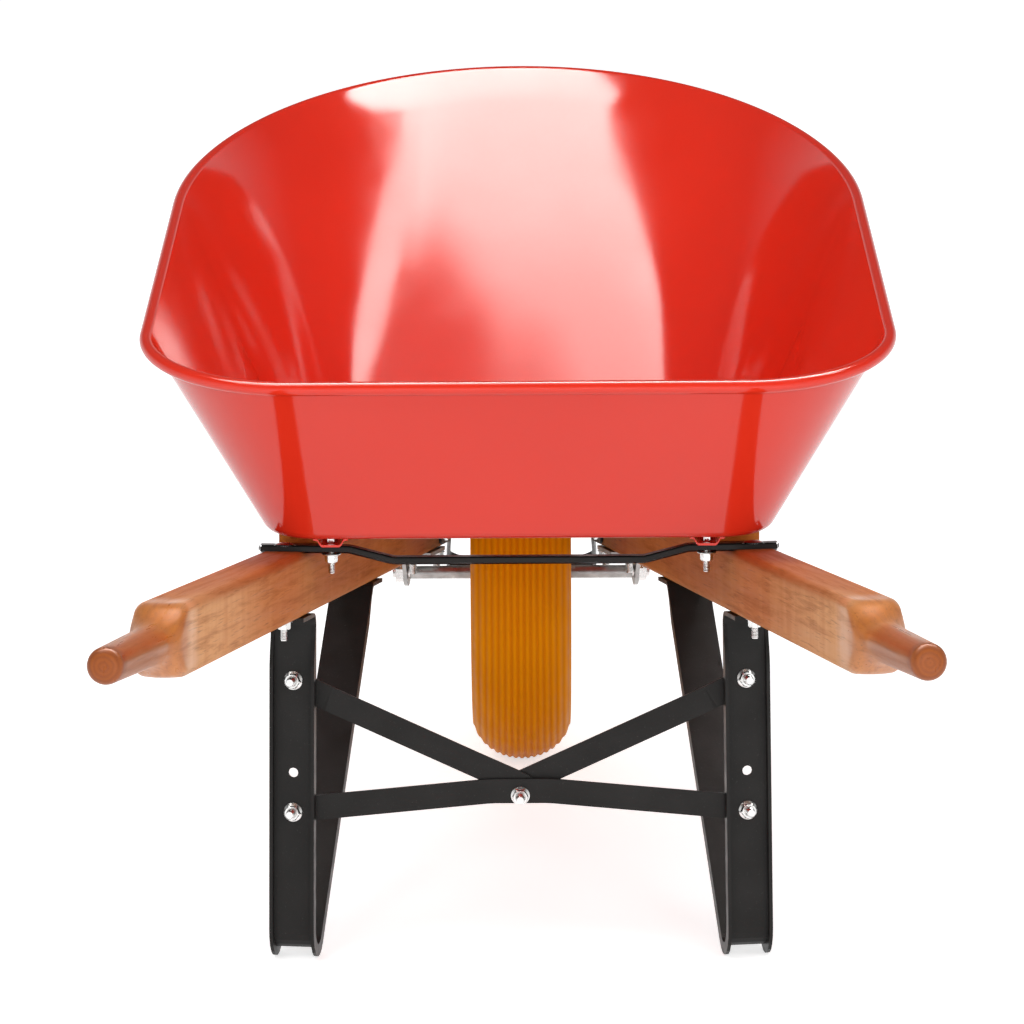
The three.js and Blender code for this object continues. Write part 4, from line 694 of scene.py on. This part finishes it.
def rim_profile(sign):
    """Half a pressed rim: flat disc, cone, bead seat, lip and back inside."""
    inner = GAP / 2
    flat = FLANGE_RADIUS + RIM_SHEET
    cone = RIM_HALF - BEAD_SEAT
    rows = [(inner, HUB_RADIUS + GAP), (inner, flat), (cone - 0.0012, RIM_RADIUS - 0.0045),
            (cone, RIM_RADIUS - 0.0012), (cone + 0.0022, RIM_RADIUS), (RIM_HALF - RIM_SHEET, RIM_RADIUS),
            (RIM_HALF - RIM_SHEET, RIM_RADIUS + RIM_LIP), (RIM_HALF - 0.0004, RIM_RADIUS + RIM_LIP),
            (RIM_HALF, RIM_RADIUS + RIM_LIP - 0.0004), (RIM_HALF, RIM_RADIUS),
            (RIM_HALF - 0.0008, RIM_RADIUS - 0.0018), (RIM_HALF - RIM_SHEET, RIM_RADIUS - RIM_SHEET),
            (cone + RIM_SHEET + 0.0015, RIM_RADIUS - RIM_SHEET), (cone + RIM_SHEET, RIM_RADIUS - 0.0045),
            (inner + RIM_SHEET + 0.001, flat - 0.0010), (inner + RIM_SHEET, flat - RIM_SHEET),
            (inner + RIM_SHEET, HUB_RADIUS + GAP)]
    return [(sign * x, r) for x, r in rows]


def hub_profile():
    """The hub's tube with one flange and a pocket for a bearing at each end."""
    disc = GAP / 2 + RIM_SHEET
    face = disc + GAP
    outer = face + FLANGE_SHEET
    bore, pocket, pocket_end = HUB_BORE, HUB_POCKET, HUB_HALF - HUB_POCKET_DEPTH
    return [(-HUB_HALF, pocket), (-HUB_HALF, HUB_RADIUS - 0.0006), (-HUB_HALF + 0.0006, HUB_RADIUS),
            (face, HUB_RADIUS), (face, FLANGE_RADIUS), (outer - 0.0006, FLANGE_RADIUS),
            (outer, FLANGE_RADIUS - 0.0006), (outer, HUB_RADIUS + 0.002), (outer + 0.002, HUB_RADIUS),
            (HUB_HALF - 0.0006, HUB_RADIUS), (HUB_HALF, HUB_RADIUS - 0.0006), (HUB_HALF, pocket),
            (pocket_end, pocket), (pocket_end, bore), (-pocket_end, bore), (-pocket_end, pocket)]


def tube_profile(low, high, bore, radius, edge=0.0004):
    return [(low, bore), (low, radius - edge), (low + edge, radius), (high - edge, radius),
            (high, radius - edge), (high, bore)]


def make_wheel(paint):
    tyre = turned("tyre_ribbed", tyre_profile(), paint["amber_rubber"], "tyre", facets=144, smooth=50)
    mark_grooves(tyre)
    for name, sign in SIDES:
        rim = turned(f"rim_disc_{name}", rim_profile(sign), paint["plated_steel"], f"rim_{name}")
        low, high = (c.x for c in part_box(f"bearing_{name}"))
        race = turned(f"bearing_race_{name}", tube_profile(low, high, BEARING_BORE, BEARING_RADIUS),
                      paint["zinc_plate"], f"bearing_{name}", facets=48)
        low, high = (c.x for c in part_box(f"axle_spacer_{name}"))
        spacer = turned(f"axle_tube_{name}", tube_profile(low, high, SPACER_BORE, SPACER_RADIUS),
                        paint["plated_steel"], f"axle_spacer_{name}", body="frame", facets=48)
    hub = turned("hub_flanged", hub_profile(), paint["plated_steel"], "hub")


# ---------------------------------------------------------------- bolts

BOLT_RADIUS, HEX_RADIUS, HEAD_HEIGHT = 0.0039, 0.0073, 0.005
NUT_HEIGHT, NUT_FLANGE_RADIUS, NUT_FLANGE_HEIGHT = 0.0065, 0.0085, 0.0016
DOME_RADIUS, DOME_HEIGHT = 0.0095, 0.0045
THREAD_PITCH, THREAD_DEPTH = 0.00125, 0.00055
AROUND = 48
SLIM = 0.78
SLIM_BOLTS = ("saddle_bolt", "rear_bolt")
LOW_HEADS = ("rear_bolt",)
LOW_HEAD_RISE = 0.0028
SAME_HEIGHT, SAME_RADIUS = 0.0002, 0.0003


class Bolt:
    """One bolt's sizes, and the stack of rings that makes it."""

    def __init__(self, dome, slim):
        self.dome = dome
        self.shank = BOLT_RADIUS * (SLIM if slim else 1)
        self.hexagon = HEX_RADIUS * (SLIM if slim else 1)
        self.flat = self.hexagon * math.cos(math.pi / 6)
        self.rise = LOW_HEAD_RISE if slim else DOME_HEIGHT

    def hex_ring(self, z, cone):
        """A hexagon's outline, its corners cut back to a cone's radius."""
        ring = []
        for k in range(AROUND):
            turn = 2 * math.pi * k / AROUND
            reach = self.flat / math.cos((turn + math.pi / 6) % (math.pi / 3) - math.pi / 6)
            ring.append((min(reach, cone), z))
        return ring

    @staticmethod
    def round_ring(z, radius):
        return [(radius, z)] * AROUND

    def thread(self, start, end):
        """Rings of a real helix from start down to end."""
        rings, steps = [], max(2, round((start - end) / THREAD_PITCH * 4))
        for i in range(steps + 1):
            z = start + (end - start) * i / steps
            fade = min(1.0, (steps - i) / 3)
            row = []
            for k in range(AROUND):
                phase = (z / THREAD_PITCH + k / AROUND) % 1.0
                cut = abs(phase * 2 - 1) * fade + (1 - fade) * 1.3
                row.append((self.shank - THREAD_DEPTH * cut, z))
            rings.append(row)
        return rings

    def top_rings(self):
        if self.dome:
            rows = [self.round_ring(self.rise * math.cos(a), DOME_RADIUS * math.sin(a))
                    for a in (0.02, 0.25, 0.5, 0.75, 1.0, 1.25, 1.45, math.pi / 2)]
            return rows + [self.round_ring(0, DOME_RADIUS - 0.0003)]
        top = HEAD_HEIGHT
        return [self.round_ring(top - 0.0002, self.flat * 0.2), self.round_ring(top, self.flat * 0.72),
                self.hex_ring(top, self.flat * 0.96), self.hex_ring(top - 0.0009, self.hexagon),
                self.hex_ring(0.0006, self.hexagon), self.hex_ring(0, self.flat * 0.97)]

    def rings(self, grip, overhang):
        """From the head's top to the thread's end, the head seated on z = 0."""
        nut, low = -grip, -grip - NUT_FLANGE_HEIGHT - NUT_HEIGHT
        rows = self.top_rings()
        rows += [self.round_ring(0, self.shank), self.round_ring(nut, self.shank)]
        rows += [self.round_ring(nut, NUT_FLANGE_RADIUS - 0.0002),
                 self.round_ring(nut - 0.0006, NUT_FLANGE_RADIUS),
                 self.round_ring(nut - 0.0011, NUT_FLANGE_RADIUS - 0.0002)]
        rows += [self.hex_ring(nut - NUT_FLANGE_HEIGHT - 0.0004, self.hexagon),
                 self.hex_ring(low + 0.0009, self.hexagon), self.hex_ring(low, self.flat * 0.96),
                 self.round_ring(low, self.shank + 0.0006), self.round_ring(low + 0.0005, self.shank)]
        rows += self.thread(low + 0.0004, low - overhang)
        rows.append(self.round_ring(low - overhang, 0.0004))
        return rows


def bolt_axis(points):
    """The bolt's axis as a unit vector from its thread to its head, and a point on it."""
    centre = sum(points, Vector()) / len(points)
    spread = [[sum((p - centre)[i] * (p - centre)[j] for p in points) for j in range(3)] for i in range(3)]
    axis = Vector((0.3, 0.5, 0.8))
    for _ in range(60):
        axis = (Matrix(spread) @ axis).normalized()
    along = [(p - centre).dot(axis) for p in points]

    def reach(end):
        return max((p - centre - axis * (p - centre).dot(axis)).length
                   for p, a in zip(points, along) if abs(a - end) < SAME_HEIGHT)

    if reach(min(along)) > reach(max(along)):
        axis = -axis
    return axis, centre


def bolt_middle(points, axis, centre, low):
    """How far the axis lies from the given centre, from the ring at the thread's end."""
    ring = [p for p in points if abs((p - centre).dot(axis) - low) < SAME_HEIGHT]
    middle = sum(ring, Vector()) / len(ring) - centre
    return middle - axis * middle.dot(axis)


def make_bolt(name, body, material):
    """A threaded bolt with its nut, head and nut lying where the node's are."""
    points = [v.co.copy() for v in NODES[name].data.vertices]
    axis, centre = bolt_axis(points)
    side = axis.orthogonal().normalized()
    other = axis.cross(side)
    heights = [(p - centre).dot(axis) for p in points]
    top, low = max(heights), min(heights)
    centre = centre + bolt_middle(points, axis, centre, low)
    off = [(p - centre - axis * (p - centre).dot(axis)).length for p in points]
    dome = max(off) > (NUT_FLANGE_RADIUS + DOME_RADIUS) / 2
    low_head = name.startswith(LOW_HEADS)
    seat = top - (DOME_HEIGHT if dome else HEAD_HEIGHT)
    grip = seat - max(a for a, o in zip(heights, off)
                      if abs(o - NUT_FLANGE_RADIUS) < SAME_RADIUS and a < seat - 0.001)
    overhang = seat - low - grip - NUT_FLANGE_HEIGHT - NUT_HEIGHT
    nut_end = low + overhang
    start = next((math.atan2((p - centre).dot(other), (p - centre).dot(side))
                  for p, a, o in zip(points, heights, off)
                  if abs(o - HEX_RADIUS) < SAME_RADIUS and abs(a - nut_end) < 2 * SAME_RADIUS), 0.0)
    origin = centre + axis * seat
    verts, faces = [], []
    rows = Bolt(dome or low_head, name.startswith(SLIM_BOLTS)).rings(grip, overhang)
    for row in rows:
        for k, (radius, z) in enumerate(row):
            turn = start + 2 * math.pi * k / AROUND
            verts.append(origin + axis * z + (side * math.cos(turn) + other * math.sin(turn)) * radius)
    for i in range(len(rows) - 1):
        for k in range(AROUND):
            j = (k + 1) % AROUND
            faces.append((i * AROUND + k, (i + 1) * AROUND + k, (i + 1) * AROUND + j, i * AROUND + j))
    faces.append(tuple(range(AROUND)))
    faces.append(tuple(len(verts) - AROUND + k for k in range(AROUND))[::-1])
    piece = new_piece(f"{name}_threaded", verts, faces, material, body=body, smooth=28)
    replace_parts(piece, name)


# ---------------------------------------------------------------- bracket bar

BAR_SWELL, BAR_BEVEL = 0.0013, 0.0014


def make_bar(material):
    """The bar across the handles, of thick rolled flat with rounded edges."""
    bar = bpy.data.objects.new("bracket_bar_rolled", NODES["bracket_bar"].data.copy())
    bpy.context.scene.collection.objects.link(bar)
    paint_all(bar, material)
    fuller = bar.modifiers.new("fuller", "DISPLACE")
    fuller.strength = BAR_SWELL
    fuller.mid_level = 0
    soften(bar, BAR_BEVEL)
    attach(bar, "frame")
    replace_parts(bar, "bracket_bar")


# ---------------------------------------------------------------- studio

def ray_is(tree, *kinds):
    """One where the ray is of any of the given kinds, else zero."""
    path = tree.nodes.new("ShaderNodeLightPath")
    result = path.outputs[kinds[0]]
    for kind in kinds[1:]:
        either = tree.nodes.new("ShaderNodeMath")
        either.operation = "MAXIMUM"
        tree.links.new(result, either.inputs[0])
        tree.links.new(path.outputs[kind], either.inputs[1])
        result = either.outputs[0]
    return result


def between(tree, factor, low, high, source=(0.0, 1.0)):
    """Low to high as the factor runs over the source; either may be a socket."""
    made = tree.nodes.new("ShaderNodeMapRange")
    made.inputs["From Min"].default_value, made.inputs["From Max"].default_value = source
    for socket, value in (("To Min", low), ("To Max", high)):
        if isinstance(value, bpy.types.NodeSocket):
            tree.links.new(value, made.inputs[socket])
        else:
            made.inputs[socket].default_value = value
    tree.links.new(factor, made.inputs["Value"])
    return made.outputs["Result"]


WORLD_LIGHT = 0.45
CEILING_SHEEN = 0.12
FLOOR_GLOW = 0.62
FLOOR_HALF_SIZE = 30.0


def make_world():
    """White all round for the camera; a white wall under a dim ceiling in reflections."""
    world = bpy.data.worlds.new("studio")
    bpy.context.scene.world = world
    world.use_nodes = True
    tree = world.node_tree
    background = tree.nodes["Background"]
    background.inputs["Color"].default_value = (1, 1, 1, 1)
    coordinates = tree.nodes.new("ShaderNodeTexCoord")
    split = tree.nodes.new("ShaderNodeSeparateXYZ")
    tree.links.new(coordinates.outputs["Generated"], split.inputs[0])
    ceiling = between(tree, split.outputs["Z"], 1.0, CEILING_SHEEN, (0.05, 0.40))
    level = between(tree, ray_is(tree, "Is Glossy Ray", "Is Transmission Ray"), WORLD_LIGHT, ceiling)
    level = between(tree, ray_is(tree, "Is Camera Ray"), level, 1.0)
    tree.links.new(level, background.inputs["Strength"])


def make_floor():
    """A pale floor that glows enough to look white and still takes a shadow."""
    material = bpy.data.materials.new("pale_floor")
    material.use_nodes = True
    tree = material.node_tree
    tree.nodes.clear()
    out = tree.nodes.new("ShaderNodeOutputMaterial")
    diffuse = tree.nodes.new("ShaderNodeBsdfDiffuse")
    diffuse.inputs["Color"].default_value = (0.9, 0.9, 0.9, 1)
    glow = tree.nodes.new("ShaderNodeEmission")
    seen = ray_is(tree, "Is Camera Ray", "Is Glossy Ray", "Is Transmission Ray")
    tree.links.new(between(tree, seen, 0.0, FLOOR_GLOW), glow.inputs["Strength"])
    both = tree.nodes.new("ShaderNodeAddShader")
    tree.links.new(diffuse.outputs[0], both.inputs[0])
    tree.links.new(glow.outputs[0], both.inputs[1])
    tree.links.new(both.outputs[0], out.inputs["Surface"])

    mesh = bpy.data.meshes.new("floor")
    edge = FLOOR_HALF_SIZE
    corners = [(-edge, -edge, 0), (edge, -edge, 0), (edge, edge, 0), (-edge, edge, 0)]
    mesh.from_pydata(corners, [], [(0, 1, 2, 3)])
    floor = bpy.data.objects.new("floor", mesh)
    floor.data.materials.append(material)
    bpy.context.scene.collection.objects.link(floor)


LAMP_AIM = place(0, 0.95, 0.45)


def make_light(name, at, size, power):
    """A lamp that lights the object and leaves its gloss to the soft boxes."""
    data = bpy.data.lights.new(name, "AREA")
    data.shape = "RECTANGLE"
    data.size, data.size_y = size
    data.energy = power
    lamp = bpy.data.objects.new(name, data)
    lamp.location = at
    lamp.rotation_mode = "QUATERNION"
    lamp.rotation_quaternion = (LAMP_AIM - Vector(at)).to_track_quat("-Z", "Y")
    lamp.visible_glossy = False
    bpy.context.scene.collection.objects.link(lamp)


SOFT_BOX_HEIGHT = 2.5
SOFT_BOX_TINT = (1.0, 0.975, 0.94)

# The large soft box overhead: rows across it, each with its place along Y and, from one
# side to the other, pairs of the place along X and the glow there. The outline comes from a
# scratch program, which traced the edges of the highlights in the photograph back by way of
# the tray. Some corners are the traced points as they came out, and the others were set
# around them. The glows were tuned to the highlights' colours.
BROAD_BOX = (
    (0.60, ((-0.30, 23), (1.70, 23), (1.70, 23), (1.70, 23))),
    (0.28, ((-0.56, 22), (1.43, 23), (1.43, 23), (1.43, 23))),
    (0.17, ((-0.86, 19), (1.22, 23), (1.22, 23), (1.22, 23))),
    (0.07, ((-0.82, 18), (1.00, 22), (1.00, 22), (1.00, 22))),
    (0.01, ((-0.76, 17), (1.00, 18), (1.00, 18), (1.00, 18))),
    (-0.05, ((-1.02, 16), (1.00, 17), (1.00, 17), (1.00, 17))),
    (-0.11, ((-1.26, 15), (0.95, 16), (0.95, 16), (0.95, 16))),
    (-0.18, ((-1.47, 14), (0.55, 14), (0.86, 13), (0.87, 13))),
    (-0.22, ((-1.47, 13), (0.32, 12), (0.70, 1.1), (1.10, 1.1))),
    (-0.26, ((-1.46, 12), (0.16, 11), (0.52, 1.1), (1.20, 1.1))),
    (-0.30, ((-1.46, 11), (-0.04, 10), (0.30, 1.1), (1.26, 1.1))),
    (-0.37, ((-1.45, 10), (-0.26, 9), (0.12, 1.1), (1.30, 1.1))),
    (-0.50, ((-1.45, 9), (-0.34, 8), (0.06, 1.1), (1.34, 1.1))),
    (-1.20, ((-1.45, 8), (-0.38, 7), (0.02, 0.9), (1.36, 0.9))),
)

# The narrow one, made in the same way: its rows along X, each with pairs of the place
# along Y and the glow.
STRIP_BOX = (
    (0.86, ((-0.18, 13), (0.075, 15))),
    (1.01, ((-0.175, 13), (0.072, 14))),
    (1.15, ((-0.22, 12), (0.060, 13))),
    (1.30, ((-0.30, 12), (0.052, 12.5))),
    (1.86, ((-0.38, 11), (-0.020, 12))),
    (2.15, ((-0.42, 11), (-0.065, 11))),
)


def glow_material():
    """Light as strong as the mesh's glow attribute says."""
    material = bpy.data.materials.new("soft_box")
    material.use_nodes = True
    tree = material.node_tree
    tree.nodes.clear()
    out = tree.nodes.new("ShaderNodeOutputMaterial")
    light = tree.nodes.new("ShaderNodeEmission")
    light.inputs["Color"].default_value = (*SOFT_BOX_TINT, 1)
    glow = tree.nodes.new("ShaderNodeAttribute")
    glow.attribute_name = "glow"
    tree.links.new(glow.outputs["Fac"], light.inputs["Strength"])
    tree.links.new(light.outputs[0], out.inputs["Surface"])
    return material


def make_soft_box(name, rows, across, material):
    """A level glowing sheet overhead that shows in the gloss and lights nothing."""
    points, glows = [], []
    for along, cells in rows:
        for aside, glow in cells:
            x, y = (aside, along) if across else (along, aside)
            points.append((x, y, SOFT_BOX_HEIGHT))
            glows.append(glow)
    count = len(rows[0][1])
    faces = [(i * count + k, i * count + k + 1, (i + 1) * count + k + 1, (i + 1) * count + k)
             for i in range(len(rows) - 1) for k in range(count - 1)]
    mesh = bpy.data.meshes.new(name)
    mesh.from_pydata(points, [], faces)
    levels = mesh.attributes.new("glow", "FLOAT", "POINT")
    for item, glow in zip(levels.data, glows):
        item.value = glow
    box = bpy.data.objects.new(name, mesh)
    box.data.materials.append(material)
    bpy.context.scene.collection.objects.link(box)
    box.visible_camera = box.visible_diffuse = box.visible_shadow = False
    box.visible_transmission = False


def make_lamps():
    make_light("front", (0.5, -4.6, 1.1), (2.6, 1.8), 105)
    make_light("key", (-1.3, -1.6, 2.6), (1.2, 1.6), 16)
    make_light("fill", (1.7, -1.7, 1.9), (1.0, 1.6), 10)
    make_light("top", (0.1, 0.2, 2.8), (1.4, 0.9), 6)
    make_light("back", (-0.8, 5.6, 2.4), (2.0, 1.6), 60)
    glow = glow_material()
    make_soft_box("broad_box", BROAD_BOX, True, glow)
    make_soft_box("strip_box", STRIP_BOX, False, glow)


# ---------------------------------------------------------------- assembly

make_camera()
bpy.context.scene.view_settings.view_transform = "Standard"

paints = {
    "tray_enamel": tray_enamel(),
    "black_paint": black_paint(),
    "amber_rubber": amber_rubber(),
    "zinc_plate": zinc_plate(),
    "plated_steel": plated_steel(),
    "handle_wood": varnished_wood("handle_wood", True),
    "riser_wood": varnished_wood("riser_wood", False),
}

EDGE_BEVEL = 0.0004
BOLT_BODIES = {name: "wheel" if name.startswith("rim_bolt") else "frame"
               for name in NODES if "_bolt" in name}


def finish_of(name):
    """The paint of a node that is shown with the CAD's own mesh."""
    if name.startswith("riser"):
        return "riser_wood"
    if name.startswith("saddle"):
        return "tray_enamel"
    if name.startswith("axle_bracket"):
        return "plated_steel"
    return "zinc_plate" if name.startswith("axle") else "black_paint"


make_tray(paints["tray_enamel"])
for name, sign in SIDES:
    make_handle(name, sign, paints["handle_wood"])
make_wheel(paints)
make_bar(paints["black_paint"])
for name, body in BOLT_BODIES.items():
    make_bolt(name, body, paints["zinc_plate"])

STOOD_FOR = {node for o in bpy.context.scene.objects if "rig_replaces" in o for node in o["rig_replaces"]}
for name, node in NODES.items():
    if name in STOOD_FOR:
        continue
    paint_all(node, paints[finish_of(name)])
    soften(node, EDGE_BEVEL)

make_world()
make_floor()
make_lamps()
